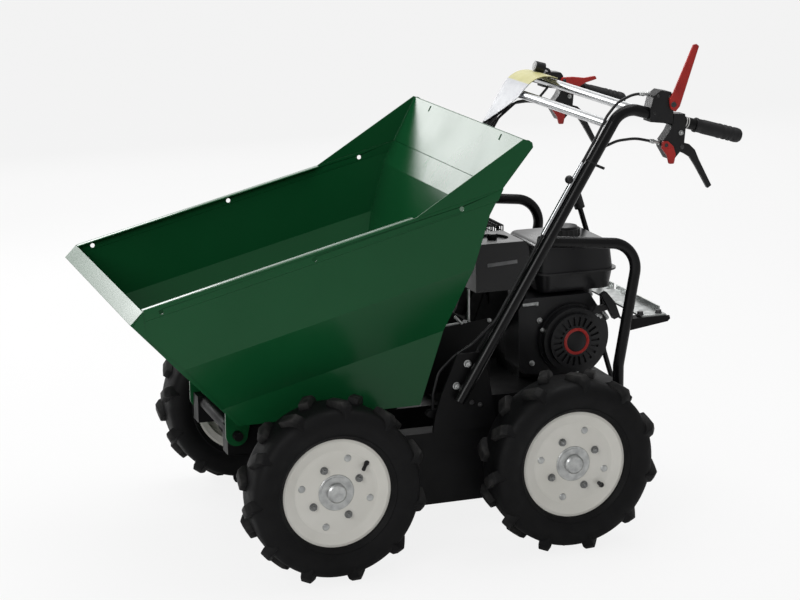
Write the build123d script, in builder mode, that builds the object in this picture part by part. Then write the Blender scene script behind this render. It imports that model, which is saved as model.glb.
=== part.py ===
from build123d import *
import math
import os

# Pedestrian four-wheel site dumper with a front-tipping hopper.
# Millimetres. +X points forward, to the hopper's pouring lip; +Y to the machine's left; +Z up.
# The ground is z = 0, y = 0 is the middle plane, and the origin is under the middle of the
# overall length. Outlines written as (x, z) are side views; (y, z) are front views.

# ---------------------------------------------------------------- driving dimensions
WHEELBASE = 526.0          # front axle to rear axle
TRACK = 706.0              # tyre middle to tyre middle
FRONT_AXLE_X = 277.0
REAR_AXLE_X = FRONT_AXLE_X - WHEELBASE
WHEEL_Y = TRACK / 2

# tyres: open-centre block tread, 8 inch rim
TYRE_R = 197.0             # over the lug tips
TYRE_HALF_W = 55.0
LUG_COUNT = 22             # both rows together, staggered
LUG_SLANT = 33.0           # degrees from straight across
LUG_W = 25.0
LUG_REACH = 45.0           # where a lug's flat top ends, along its slant
LUG_HEIGHT = 16.0          # lug tips above the tread floor
SHOULDER_DROP = 44.0       # lug tips above the sidewall's outer edge
RIM_R = 115.0              # over the rim flanges
RIM_HALF_W = 35.0
AXLE_Z = TYRE_R * math.cos(math.pi / LUG_COUNT)   # the tyre stands on two lug tips

# wheel seat on its axle
AXLE_R = 15.0
RUNNING_GAP = 0.1          # radial, between a turning bore and its pin
WHEEL_GAP = 6.0            # between a fixed boss and the turning hub

# hopper sheet work
HOPPER_HALF_W = 333.0      # outside, at the rim
SHEET = 3.0
RIM_FRONT = (652.0, 598.0)     # (x, z) where the side rims start
RIM_SLOPE = 0.249              # rise for each millimetre rearwards
FLOOR_Z = 320.0
FLOOR_FRONT_X, FLOOR_REAR_X = 446.0, 46.0
NOSE = (674.0, 568.0)          # (x, z) where the front plate reaches the lip
BACK_BEND = (-80.0, 735.0)     # (x, z) where the back plate leans further out
BACK_TOP = (-160.0, 885.0)
LIP_TIP = (678.0, 572.0)
RIM_HOLES_X = (-18.0, 298.0, 615.0)
RIM_HOLE_R, RIM_HOLE_DROP = 5.0, 13.0
FLARE_START_X = 84.0           # where the raised back's side flares leave the rims
RIM_BAND = 22.0                # height of the flat band along each side rim
# (inset from the rim's half width, drop below the rim) of the sides' long creases
SIDE_CREASES = [(0.0, RIM_BAND), (5.0, 148.0), (71.0, 281.0), (85.0, 470.0)]
# (x, z) of the folded hem along the front edge of each side
FRONT_HEM = [(646.0, 540.0), (572.0, 470.0), (476.0, 361.0), (436.0, FLOOR_Z)]
HEM_PROUD = 1.2

# tipping pivot
PIVOT = (422.0, 268.0)         # (x, z)
PIVOT_R = 10.0
EAR_INNER_Y, EAR_T, EAR_R = 150.0, 6.0, 24.0

# chassis
RAIL_IN_Y, RAIL_OUT_Y = 105.0, 145.0
RAIL_TOP_Z = 283.0
AXLE_TUBE_R = 28.0
RAIL_BOTTOM_Z = AXLE_Z + AXLE_TUBE_R
RAIL_FRONT_X, RAIL_REAR_X = 440.0, -465.0
DECK_T = 8.0
CASE_OUT_Y = WHEEL_Y - TYRE_HALF_W - 26.5
CASE_IN_Y = CASE_OUT_Y - 46.5
CASE_MID_Z = AXLE_Z - 12.0     # the side drive cases hang a little below the axles
CASE_R = 79.5                  # half height of the side drive cases
CASE_TOP_Z = CASE_MID_Z + CASE_R
BAR_H = 28.0                   # height of the cross bars
MID_BAR = (REAR_AXLE_X + 159.0, REAR_AXLE_X + 209.0)   # x span
REAR_BAR = (-427.0, -387.0)
PLATE_T = 6.0

# handlebar
HANDLE_R = 12.5
HANDLE_Y = CASE_OUT_Y + PLATE_T + HANDLE_R
HANDLE_FOOT = (-27.0, 330.0)
HANDLE_CORNER = (-394.0, 934.0)
HANDLE_END = (-669.0, 855.0)
HANDLE_BEND = 50.0
CROSS_TUBE_R = 10.0
GRIP_R, GRIP_LEN = 16.0, 114.0
GRIP_END_T = 4.75             # the closed end beyond the bar
GUARD_R = 12.0
GUARD_Y = HANDLE_Y - HANDLE_R - GUARD_R

# engine
CRANK = (-355.0, 397.0)        # (x, z)
ENGINE_BASE_Z = RAIL_TOP_Z + DECK_T
BLOCK_Y = (-95.0, 40.0)
SHROUD_Y = 125.0
RECOIL_R, RECOIL_FACE_Y = 73.0, 158.0
VENT_R = 61.0                  # raised slotted face of the recoil starter
TANK_X, TANK_Y, TANK_Z = (-466.0, -286.0), (-90.0, 112.0), (500.0, 606.0)
CLEANER_X, CLEANER_Y, CLEANER_Z = (-261.0, -136.0), (-15.0, 110.0), (515.0, 622.0)
MUFFLER_X, MUFFLER_Y, MUFFLER_Z = (-260.0, -142.0), (-144.0, -46.0), (510.0, 620.0)

# belt drive on the right, from the crankshaft down to the gearbox
BELT_FOOT = (REAR_AXLE_X + 134.0, 210.0)    # (x, z)
BELT_Y = (-198.0, -150.0)

# gear gate, a flat plate on two arms from the engine guards' legs
GATE_X = (-526.0, -466.0)
GATE_Z = 462.0
GATE_HALF_Y = 250.0
GATE_T = 4.0
LEVER_Y, LEVER_R = -60.0, 6.0


# ---------------------------------------------------------------- helpers
def slab(outline, y0, y1, mode=Mode.ADD):
    """A plate with a side-view outline of (x, z) points, from y0 to y1."""
    with BuildSketch(Plane.XZ.offset(-y1)) as face:
        with BuildLine():
            Polyline(*outline, close=True)
        make_face()
    extrude(face.sketch, amount=y1 - y0, mode=mode)


def disc(x, z, radius, y0, y1, mode=Mode.ADD):
    """A round bar across the machine at (x, z), from y0 to y1."""
    with BuildSketch(Plane.XZ.offset(-y1)) as face:
        with Locations((x, z)):
            Circle(radius)
    extrude(face.sketch, amount=y1 - y0, mode=mode)


def block(x_span, y_span, z_span, mode=Mode.ADD):
    """A box between named limits."""
    middle = [(low + high) / 2 for low, high in (x_span, y_span, z_span)]
    size = [high - low for low, high in (x_span, y_span, z_span)]
    with Locations(tuple(middle)):
        Box(*size, mode=mode)


def rect(x0, x1, z0, z1):
    return [(x0, z0), (x1, z0), (x1, z1), (x0, z1)]


def toward(start, end, distance):
    """The point `distance` along the way from start to end."""
    length = math.dist(start, end)
    return tuple(a + (b - a) * distance / length for a, b in zip(start, end))


def save(part, name):
    part.label = name
    export_step(part, f"parts/{name}.step")


os.makedirs("parts", exist_ok=True)


# ---------------------------------------------------------------- wheels
def wheel_plane(h):
    """A plane square to the wheel's axle, h outwards from the tyre's middle."""
    return Plane(origin=(0, h, 0), x_dir=(1, 0, 0), z_dir=(0, 1, 0))


def make_tyre():
    tread_r, side_r, bead_r = TYRE_R - LUG_HEIGHT, TYRE_R - SHOULDER_DROP, RIM_R + 0.3
    # the tip's corner reaches TYRE_R, so the flat top is nearer the axle
    corner = LUG_REACH * math.sin(math.radians(LUG_SLANT)) + LUG_W / 2 * math.cos(math.radians(LUG_SLANT))
    top_r = math.sqrt(TYRE_R ** 2 - corner ** 2)
    corner_angle = math.degrees(math.atan2(corner, top_r))
    # the carcass has a flat for each lug, turned to lie under the middle of it
    flat_turn = 90.0 + corner_angle - 5.2

    def ring(h, radius):
        with BuildSketch(wheel_plane(h)) as section:
            RegularPolygon(radius, LUG_COUNT, major_radius=False, rotation=flat_turn)
        return section.sketch

    # (distance along the slant, radius) of a lug seen square to its length
    lug = [(3.0, tread_r - 4), (7.0, top_r), (LUG_REACH, top_r), (55.0, top_r - 11), (58.0, side_r + 9),
           (50.0, side_r - 1)]
    with BuildPart() as tyre:
        rings = ((-TYRE_HALF_W, side_r), (-45.0, tread_r - 3), (45.0, tread_r - 3), (TYRE_HALF_W, side_r))
        loft([ring(h, radius) for h, radius in rings], ruled=True)
        for side in (-1, 1):
            dish = ((side * TYRE_HALF_W, side_r), (side * (RIM_HALF_W + 1), bead_r))
            loft([ring(h, radius) for h, radius in dish], ruled=True, mode=Mode.SUBTRACT)
        extrude(ring(-TYRE_HALF_W, bead_r), amount=2 * TYRE_HALF_W, mode=Mode.SUBTRACT)
        for count in range(LUG_COUNT):
            side = 1 if count % 2 else -1
            turn = -90.0 - corner_angle + (count + 0.5) * 360.0 / LUG_COUNT
            out = Vector(math.cos(math.radians(turn)), 0, math.sin(math.radians(turn)))
            along = Vector(-math.sin(math.radians(turn)), 0, math.cos(math.radians(turn)))
            slant = math.radians(LUG_SLANT)
            run = along * math.sin(slant) + Vector(0, side * math.cos(slant), 0)
            with BuildSketch(Plane(origin=(0, 0, 0), x_dir=run, z_dir=run.cross(out))):
                with BuildLine():
                    Polyline(*lug, close=True)
                make_face()
            extrude(amount=LUG_W / 2, both=True)
    return tyre.part


def make_rim():
    # (radius, distance from the tyre's middle) of the dished disc and its barrel
    profile = [(14.0, 24.0), (86.0, 24.0), (97.0, 19.0), (97.0, -28.0), (110.0, -RIM_HALF_W), (RIM_R, -RIM_HALF_W),
               (RIM_R, -31.0), (104.0, -31.0), (101.0, -24.0), (101.0, 24.0), (104.0, 31.0), (RIM_R, 31.0),
               (RIM_R, RIM_HALF_W), (109.0, RIM_HALF_W + 1.5), (100.0, 33.0), (89.0, 28.5), (85.0, 28.0), (14.0, 28.0)]
    with BuildPart() as rim:
        with BuildSketch(Plane.XY):
            with BuildLine():
                Polyline(*profile, close=True)
            make_face()
        revolve(axis=Axis.Y)
    return rim.part


def make_hub():
    bore = AXLE_R + RUNNING_GAP
    inner_end = CASE_OUT_Y + 20.0 + WHEEL_GAP - WHEEL_Y
    # (radius, distance from the tyre's middle): barrel, flange behind the disc, washer and capped nut outside
    profile = [(bore, inner_end), (30.0, inner_end), (30.0, 14.0), (64.0, 14.0), (64.0, 24.0), (14.0, 24.0),
               (14.0, 28.0), (33.5, 28.0), (33.5, 31.0), (20.5, 31.0), (20.5, 37.0), (17.0, 40.0), (0.0, 40.0),
               (0.0, 12.0), (bore, 12.0)]
    with BuildPart() as hub:
        with BuildSketch(Plane.XY):
            with BuildLine():
                Polyline(*profile, close=True)
            make_face()
        revolve(axis=Axis.Y)
    return hub.part


WHEELS = [  # name, axle x, side
    ("front_left", FRONT_AXLE_X, 1),
    ("front_right", FRONT_AXLE_X, -1),
    ("rear_left", REAR_AXLE_X, 1),
    ("rear_right", REAR_AXLE_X, -1),
]
wheel_pieces = {"tyre": make_tyre(), "rim": make_rim(), "hub": make_hub()}
for wheel, axle_x, side in WHEELS:
    for piece, shape in wheel_pieces.items():
        handed = shape if side > 0 else mirror(shape, about=Plane.XZ)
        save(handed.moved(Location((axle_x, side * WHEEL_Y, AXLE_Z))), f"{piece}_{wheel}")


# ---------------------------------------------------------------- chassis
with BuildPart() as chassis_frame:
    for side in (-1, 1):
        low, high = sorted((side * RAIL_IN_Y, side * RAIL_OUT_Y))
        block((RAIL_REAR_X, RAIL_FRONT_X), (low, high), (RAIL_BOTTOM_Z, RAIL_TOP_Z))
    block(MID_BAR, (-CASE_OUT_Y, CASE_OUT_Y), (RAIL_TOP_Z, RAIL_TOP_Z + BAR_H))
    block(REAR_BAR, (-GUARD_Y - 14, GUARD_Y + 14), (RAIL_TOP_Z - BAR_H, RAIL_TOP_Z))
    disc(*PIVOT, 14.0, -RAIL_OUT_Y, RAIL_OUT_Y)
    disc(*PIVOT, PIVOT_R, -EAR_INNER_Y - EAR_T - 14, EAR_INNER_Y + EAR_T + 14)
    block((60.0, 90.0), (-RAIL_IN_Y, RAIL_IN_Y), (RAIL_TOP_Z - 40.0, RAIL_TOP_Z))
    for side in (-1, 1):
        block(MID_BAR, sorted((side * CASE_IN_Y, side * CASE_OUT_Y)), (CASE_TOP_Z, RAIL_TOP_Z))
    # rear tie between the rails, with the gear lever's arm
    block((RAIL_REAR_X, RAIL_REAR_X + 10), (-RAIL_IN_Y, RAIL_IN_Y), (RAIL_BOTTOM_Z, RAIL_BOTTOM_Z + 40))
    block((-558.0, RAIL_REAR_X), (LEVER_Y + LEVER_R, LEVER_Y + LEVER_R + 14), (RAIL_BOTTOM_Z - 10, RAIL_BOTTOM_Z + 4))
save(chassis_frame.part, "chassis_frame")

with BuildPart() as engine_deck:
    block((RAIL_REAR_X, MID_BAR[0] - 10), (-RAIL_OUT_Y, RAIL_OUT_Y), (RAIL_TOP_Z, ENGINE_BASE_Z))
save(engine_deck.part, "engine_deck")

with BuildPart() as rest_pads:
    for side in (-1, 1):
        low, high = sorted((side * (RAIL_IN_Y + 5), side * (RAIL_OUT_Y - 5)))
        block((60.0, 90.0), (low, high), (RAIL_TOP_Z, FLOOR_Z - 0.3))
save(rest_pads.part, "rest_pads")

with BuildPart() as drive_cases:
    for side in (-1, 1):
        low, high = sorted((side * CASE_IN_Y, side * CASE_OUT_Y))
        slab(rect(REAR_AXLE_X, FRONT_AXLE_X, CASE_MID_Z - CASE_R, CASE_TOP_Z), low, high)
        for axle_x in (REAR_AXLE_X, FRONT_AXLE_X):
            disc(axle_x, CASE_MID_Z, CASE_R, low, high)
            disc(axle_x, AXLE_Z, 36.0, *sorted((side * CASE_OUT_Y, side * (CASE_OUT_Y + 20))))
save(drive_cases.part, "drive_cases")

for name, axle_x in (("front", FRONT_AXLE_X), ("rear", REAR_AXLE_X)):
    with BuildPart() as axle:
        disc(axle_x, AXLE_Z, AXLE_TUBE_R, -CASE_IN_Y, CASE_IN_Y)
        for side in (-1, 1):
            disc(axle_x, AXLE_Z, AXLE_R, *sorted((side * (CASE_OUT_Y + 20), side * (WHEEL_Y + 11.5))))
    save(axle.part, f"{name}_axle")

with BuildPart() as gearbox:
    block((REAR_AXLE_X + 69, REAR_AXLE_X + 239), (-RAIL_IN_Y, RAIL_IN_Y), (150.0, 275.0))
    disc(REAR_AXLE_X + 189, AXLE_Z, 70.0, -60.0, 60.0)
    disc(REAR_AXLE_X + 209, AXLE_Z, 14.0, -CASE_IN_Y, CASE_IN_Y)
    disc(*BELT_FOOT, 10.0, BELT_Y[1], -RAIL_IN_Y)
save(gearbox.part, "gearbox")

with BuildPart() as handle_brackets:
    for side in (-1, 1):
        slab([(-118, CASE_TOP_Z), (28, CASE_TOP_Z), (22, 300), (8, 345), (-28, 430), (-78, 430), (-97, 385),
              (-110, 313)], *sorted((side * CASE_OUT_Y, side * (CASE_OUT_Y + PLATE_T))))
save(handle_brackets.part, "handle_brackets")


# ---------------------------------------------------------------- handlebar
def handle_point(x):
    """A point on the rear run of the bar, as (x, z)."""
    slope = (HANDLE_END[1] - HANDLE_CORNER[1]) / (HANDLE_END[0] - HANDLE_CORNER[0])
    return (x, HANDLE_CORNER[1] + slope * (x - HANDLE_CORNER[0]))


def shank_point(z):
    """A point on the long rising run of the bar, as (x, z)."""
    slope = (HANDLE_CORNER[0] - HANDLE_FOOT[0]) / (HANDLE_CORNER[1] - HANDLE_FOOT[1])
    return (HANDLE_FOOT[0] + slope * (z - HANDLE_FOOT[1]), z)


def round_bar(places, radii, bar_r):
    """A round bar through (x, y, z) places, with arcs at the corners."""
    with BuildLine() as route:
        FilletPolyline(*places, radius=radii)
    with BuildSketch(Plane(origin=route.line @ 0, z_dir=route.line % 0)) as end_face:
        Circle(bar_r)
    sweep(end_face.sketch, path=route.line)


def beside_shank(z, ahead, inward, side):
    """A place beside the rising run at height z: `ahead` of its axis, `inward` of it, for that side."""
    dx, dz = HANDLE_CORNER[0] - HANDLE_FOOT[0], HANDLE_CORNER[1] - HANDLE_FOOT[1]
    length = math.hypot(dx, dz)
    x, z = shank_point(z)
    return (x + ahead * dz / length, side * (HANDLE_Y - inward), z - ahead * dx / length)


with BuildPart() as handle_tubes:
    for side in (-1, 1):
        round_bar([(x, side * HANDLE_Y, z) for x, z in (HANDLE_FOOT, HANDLE_CORNER, HANDLE_END)], HANDLE_BEND,
                  HANDLE_R)
save(handle_tubes.part, "handle_tubes")

with BuildPart() as engine_guards:
    for side in (-1, 1):
        guard = [(shank_point(654.0)[0] + 6, 654.0), (-453.0, 630.5), (-406.0, 365.0), (-406.0, RAIL_TOP_Z)]
        round_bar([(x, side * GUARD_Y, z) for x, z in guard], [60.0, 40.0], GUARD_R)
save(engine_guards.part, "engine_guards")

with BuildPart() as grips:
    for side in (-1, 1):
        start = toward(HANDLE_END, HANDLE_CORNER, GRIP_LEN - GRIP_END_T)
        end = toward(HANDLE_END, HANDLE_CORNER, -GRIP_END_T)
        foot = Plane(origin=(start[0], side * HANDLE_Y, start[1]), z_dir=(end[0] - start[0], 0, end[1] - start[1]))
        for radius, length, mode in ((GRIP_R, GRIP_LEN, Mode.ADD), (HANDLE_R, GRIP_LEN - GRIP_END_T, Mode.SUBTRACT)):
            with BuildSketch(foot) as ring:
                Circle(radius)
            extrude(ring.sketch, amount=length, mode=mode)
save(grips.part, "grips")

with BuildPart() as cross_tubes:
    for x, z in (handle_point(-441.0), shank_point(896.0)):
        disc(x, z, CROSS_TUBE_R, -HANDLE_Y + HANDLE_R, HANDLE_Y - HANDLE_R)
save(cross_tubes.part, "cross_tubes")


# the console plate wraps over the right bend of the bar
def beside_bar(distance):
    """The bar's corner points moved `distance` outwards from the bend, as (x, z)."""
    a, b, c = (Vector(*point) for point in (HANDLE_FOOT, HANDLE_CORNER, HANDLE_END))
    first, second = (b - a).normalized(), (c - b).normalized()
    out_1, out_2 = Vector(first.Y, -first.X), Vector(second.Y, -second.X)
    middle = b + (out_1 + out_2) * (distance / (1 + out_1.dot(out_2)))
    return [a + out_1 * distance, middle, c + out_2 * distance]


CONSOLE_GAP, CONSOLE_T = 0.1, 2.0
CONSOLE_REAR_X = -446.0
CONSOLE_Y = (-288.0, -165.0)
# (y, z) outline of the plate seen from ahead: square at the top, tapering to a point down the bar
CONSOLE_VIEW = [(-288, 960), (-165, 960), (-165, 918), (-176, 894), (-214, 866), (-252, 842), (-278, 826), (-288, 826)]
with BuildPart() as console_plate:
    with BuildSketch(Plane.XZ.offset(-CONSOLE_Y[1])) as strip:
        for distance, mode in ((HANDLE_R + CONSOLE_GAP + CONSOLE_T, Mode.ADD), (HANDLE_R + CONSOLE_GAP, Mode.SUBTRACT)):
            with BuildLine() as edge:
                bend = FilletPolyline(*beside_bar(distance), radius=HANDLE_BEND + distance)
                Polyline(bend @ 1, (-669, 700), (-27, 300), bend @ 0)
            make_face(edge.edges(), mode=mode)
    extrude(strip.sketch, amount=CONSOLE_Y[1] - CONSOLE_Y[0])
    with BuildSketch(Plane(origin=(0, 0, 0), x_dir=(0, 1, 0), z_dir=(1, 0, 0))) as view:
        with BuildLine():
            Polyline(*CONSOLE_VIEW, close=True)
        make_face()
    extrude(view.sketch, amount=CONSOLE_REAR_X, mode=Mode.INTERSECT)
save(console_plate.part, "console_plate")


# ---------------------------------------------------------------- hand controls
def along_bar(distance, y):
    """A plane square to the bar's rear run, `distance` from its corner."""
    x, z = toward(HANDLE_CORNER, HANDLE_END, distance)
    return Plane(origin=(x, y, z), z_dir=(HANDLE_END[0] - HANDLE_CORNER[0], 0, HANDLE_END[1] - HANDLE_CORNER[1]))


def bar_hole(y):
    """Clears the bar out of a clamp."""
    with BuildSketch(along_bar(0.0, y)) as ring:
        Circle(HANDLE_R)
    extrude(ring.sketch, amount=math.dist(HANDLE_CORNER, HANDLE_END), mode=Mode.SUBTRACT)


def both_sides(name, outline, low, high, on_bar=False):
    """A pair of like plates at the two ends of the bar, `low` to `high` outwards from its axis."""
    with BuildPart() as pair:
        for side in (-1, 1):
            slab(outline, *sorted((side * (HANDLE_Y + low), side * (HANDLE_Y + high))))
        if on_bar:
            for side in (-1, 1):
                bar_hole(side * HANDLE_Y)
    save(pair.part, name)


with BuildPart() as lever_housings:
    left_view = [(-452, 900), (-453, 930), (-460, 955), (-476, 966), (-500, 961), (-507, 940), (-505, 893)]
    slab(left_view, HANDLE_Y - 17, HANDLE_Y + 17)
    right_view = [(-456, 898), (-456, 926), (-466, 934), (-502, 930), (-508, 922), (-506, 890)]
    slab(right_view, -HANDLE_Y - 17, -HANDLE_Y + 17)
    for side in (-1, 1):
        bar_hole(side * HANDLE_Y)
save(lever_housings.part, "lever_housings")

clamp_view = [(-509, 914), (-507, 893), (-498, 876), (-484, 858), (-482, 844), (-498, 818), (-511, 817), (-525, 832),
              (-534, 850), (-537, 884), (-535, 912)]
both_sides("lever_clamps", clamp_view, -14, 14, True)
both_sides("brake_levers", [(-534, 850), (-551, 845), (-565, 832), (-577, 806), (-606, 752), (-597, 746), (-566, 798),
                            (-553, 817), (-540, 825), (-525, 832)], -5, 5)
# the same clamp and pawl serves both ends, so both pawls are on the left of theirs
pawl_view = [(-482, 858), (-494, 857), (-506, 846), (-512, 828), (-508, 808), (-497, 808), (-492, 826), (-479, 843)]
with BuildPart() as lever_pawls:
    for side in (-1, 1):
        slab(pawl_view, side * HANDLE_Y + 14, side * HANDLE_Y + 20)
save(lever_pawls.part, "lever_pawls")

with BuildPart() as red_lever_left:
    slab([(-494, 948), (-497, 926), (-508, 919), (-518, 930), (-560, 1055), (-554, 1060), (-546, 1058), (-499, 954)],
         HANDLE_Y + 17, HANDLE_Y + 23)
save(red_lever_left.part, "red_lever_left")
with BuildPart() as red_lever_right:
    slab([(-498, 912), (-504, 919), (-530, 919), (-560, 915), (-588, 918), (-592, 911), (-562, 903), (-540, 892),
          (-526, 895), (-516, 904)], -HANDLE_Y + 17, -HANDLE_Y + 23)
save(red_lever_right.part, "red_lever_right")

# round stop switch lying along the rear end of the console plate, its key face forwards
SWITCH_R, SWITCH_LEN, SWITCH_Y = 12.0, 24.0, -249.0
switch_off = HANDLE_R + CONSOLE_GAP + CONSOLE_T + SWITCH_R
bar_back = (Vector(*HANDLE_END) - Vector(*HANDLE_CORNER)).normalized()
switch_front = Vector(*handle_point(-417.0)) + (beside_bar(switch_off)[2] - Vector(*HANDLE_END))
with BuildPart() as engine_switch:
    with BuildSketch(Plane(origin=(switch_front.X, SWITCH_Y, switch_front.Y), z_dir=(bar_back.X, 0, bar_back.Y))):
        Circle(SWITCH_R)
    extrude(amount=SWITCH_LEN)
save(engine_switch.part, "engine_switch")

# control cables: down the inner side of the bar to the mid bar, and on the left down its front to the tip latch
CABLE_R = 3.0
SLEEVE_R = 5.0
SLEEVE_OFF = HANDLE_R + SLEEVE_R + 0.1     # sleeve's axis ahead of the bar's
CLAMP_OFF = HANDLE_R + CABLE_R + 0.1       # bare cable against the bar
LATCH_TOP = RAIL_TOP_Z + BAR_H - 2
SLEEVE_Z = (665.0, 812.0)                  # beside the bar's axis
LATCH_CABLE = [(-456.2, HANDLE_Y, 957.5), (-421, HANDLE_Y, 959), (-384, HANDLE_Y, 944), (-360, HANDLE_Y, 916),
               beside_shank(862.0, SLEEVE_OFF, 0, 1), beside_shank(490.0, SLEEVE_OFF, 0, 1), (-66, 266, 446),
               (-30, 253, 420), (6, 253, 388), (20, 256, 340), (20, 256, LATCH_TOP)]
DIAGONAL = CLAMP_OFF * math.sqrt(0.5)


def clutch_cable(side):
    return [(-482.4, side * HANDLE_Y, 852), (-426, side * HANDLE_Y, 865), (-386, side * 287.5, 862),
            beside_shank(838.0, 0, CLAMP_OFF + 4, side), beside_shank(785.0, DIAGONAL, DIAGONAL, side),
            beside_shank(485.0, DIAGONAL, DIAGONAL, side), (-84, side * 258, 436), (-62, side * 256, 380),
            (-62, side * 256, RAIL_TOP_Z + BAR_H)]


# the switch's lead keeps behind the bar, 30 degrees inwards, clear of the engine guard
LEAD_BACK, LEAD_IN = -CLAMP_OFF * math.cos(math.radians(30)), CLAMP_OFF / 2
STOP_LEAD = [(-447.4, -249, 946.4), (-464, -250, 941), (-458, -251, 900), (-438, -254, 877), (-386, -268, 868),
             beside_shank(838.0, LEAD_BACK, LEAD_IN, -1), beside_shank(485.0, LEAD_BACK, LEAD_IN, -1),
             (-112, -264, 430), (-82, -256, 380), (-82, -256, RAIL_TOP_Z + BAR_H)]
with BuildPart() as control_cables:
    round_bar(LATCH_CABLE, [60, 60, 50, 60, 40, 40, 36, 40, 14], CABLE_R)
    for side in (-1, 1):
        round_bar(clutch_cable(side), [90, 40, 30, 40, 40, 24, 30], CABLE_R)
    round_bar(STOP_LEAD, [9, 14, 16, 24, 24, 30, 18, 20], CABLE_R)
save(control_cables.part, "control_cables")

# bright sleeve on the latch cable, with a clamped ball
with BuildPart() as cable_sleeve:
    sleeve_foot, sleeve_top = (Vector(*beside_shank(z, SLEEVE_OFF, 0, 1)) for z in SLEEVE_Z)
    for radius, mode in ((SLEEVE_R, Mode.ADD), (CABLE_R + 0.05, Mode.SUBTRACT)):
        with BuildSketch(Plane(origin=sleeve_foot, z_dir=sleeve_top - sleeve_foot)) as ring:
            Circle(radius)
        extrude(ring.sketch, amount=(sleeve_top - sleeve_foot).length, mode=mode)
save(cable_sleeve.part, "cable_sleeve")
with BuildPart() as latch_knob:
    with Locations(beside_shank(774.0, SLEEVE_OFF + 8, 0, 1)):
        Sphere(9.0)
    with BuildSketch(Plane(origin=sleeve_foot, z_dir=sleeve_top - sleeve_foot)) as ring:
        Circle(SLEEVE_R + 0.05)
    extrude(ring.sketch, amount=300, mode=Mode.SUBTRACT)
save(latch_knob.part, "latch_knob")
with BuildPart() as tip_latch:
    slab([(MID_BAR[1], 287), (MID_BAR[1], LATCH_TOP), (30, LATCH_TOP), (38, 301), (30, 293), (-10, 287)], 250.0, 262.0)
save(tip_latch.part, "tip_latch")


# ---------------------------------------------------------------- engine
CYLINDER_TILT = math.radians(20)    # the cylinder leans forward, this far above level


def on_cylinder(s, t):
    """The (x, z) place s along the cylinder from the crank and t above its axis."""
    c, d = math.cos(CYLINDER_TILT), math.sin(CYLINDER_TILT)
    return (CRANK[0] + s * c - t * d, CRANK[1] + s * d + t * c)


def finned_view(first, pitch, count, root, tip):
    """Side view of a finned barrel, as (x, z) points."""
    upper = []
    for fin in range(count):
        s = first + fin * pitch
        upper += [(s, root), (s, tip), (s + 4, tip), (s + 4, root)]
    return [on_cylinder(s, t) for s, t in upper] + [on_cylinder(s, -t) for s, t in reversed(upper)]


def on_side(s0, s1, half, y0, y1):
    """A block on the cylinder's axis, from s0 to s1."""
    slab([on_cylinder(s0, -half), on_cylinder(s1, -half), on_cylinder(s1, half), on_cylinder(s0, half)], y0, y1)


with BuildPart() as engine_block:
    slab([(-440, ENGINE_BASE_Z), (-268, ENGINE_BASE_Z), (-262, 330), (-262, 455), (-285, 500), (-430, 500),
          (-450, 452), (-452, 320)], *BLOCK_Y)
    slab(finned_view(92.0, 12.0, 9, 30.0, 38.0), -86.0, 32.0)
    on_side(192.0, 216.0, 37.0, -80.0, 28.0)
    on_side(216.0, 236.0, 30.0, -66.0, 14.0)
    disc(*CRANK, 12.5, BELT_Y[1], BLOCK_Y[0])
    block((-240.0, -195.0), (0.0, 40.0), (470.0, CLEANER_Z[0]))
    block((-230.0, -190.0), (-90.0, -50.0), (470.0, MUFFLER_Z[0]))
save(engine_block.part, "engine_block")

with BuildPart() as fan_shroud:
    disc(*CRANK, 92.0, BLOCK_Y[1], SHROUD_Y)
    slab([(-300, 318), (-242, 326), (-232, 340), (-230, 470), (-245, 495), (-400, 495), (-430, 450)], BLOCK_Y[1], SHROUD_Y)
save(fan_shroud.part, "fan_shroud")

with BuildPart() as recoil_starter:
    disc(*CRANK, RECOIL_R + 6, SHROUD_Y, SHROUD_Y + 8)
    disc(*CRANK, RECOIL_R, SHROUD_Y + 8, RECOIL_FACE_Y - 10)
    disc(*CRANK, VENT_R, RECOIL_FACE_Y - 10, RECOIL_FACE_Y)
    # ring of cooling slots in the face
    with BuildSketch(Plane.XZ.offset(-RECOIL_FACE_Y)) as slots:
        with Locations(CRANK):
            with PolarLocations(45.0, 22):
                Rectangle(20.0, 5.5)
    extrude(slots.sketch, amount=5.0, mode=Mode.SUBTRACT)
save(recoil_starter.part, "recoil_starter")

with BuildPart() as starter_handle:
    slab([(-415, 495), (-427, 502), (-448, 477), (-461, 443), (-446, 438), (-434, 460)], 141.0, 157.0)
    slab([(-440, 474), (-405, 470), (-395.5, 458.3), (-401.9, 453.5), (-442, 462)], 144.0, 151.5)
save(starter_handle.part, "starter_handle")

TANK_SEAM_Z = 543.0
tank_mid = ((TANK_X[0] + TANK_X[1]) / 2, (TANK_Y[0] + TANK_Y[1]) / 2)
with BuildPart() as fuel_tank:
    # two pressed halves, each narrower away from the seam
    for top_z, up, taper in ((TANK_Z[1], 1, 7), (TANK_Z[0], -1, 11)):
        with BuildSketch(Plane(origin=(*tank_mid, TANK_SEAM_Z), x_dir=(1, 0, 0), z_dir=(0, 0, up))) as seam:
            RectangleRounded(TANK_X[1] - TANK_X[0] + 8, TANK_Y[1] - TANK_Y[0] + 8, 32)
        extrude(seam.sketch, amount=abs(top_z - TANK_SEAM_Z), taper=taper)
    fillet(fuel_tank.faces().sort_by(Axis.Z)[-1].edges(), 12)
    with BuildSketch(Plane.XY.offset(TANK_SEAM_Z - 2)) as flange:
        with Locations(tank_mid):
            RectangleRounded(TANK_X[1] - TANK_X[0] + 22, TANK_Y[1] - TANK_Y[0] + 22, 36)
    extrude(flange.sketch, amount=4)
save(fuel_tank.part, "fuel_tank")
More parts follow.
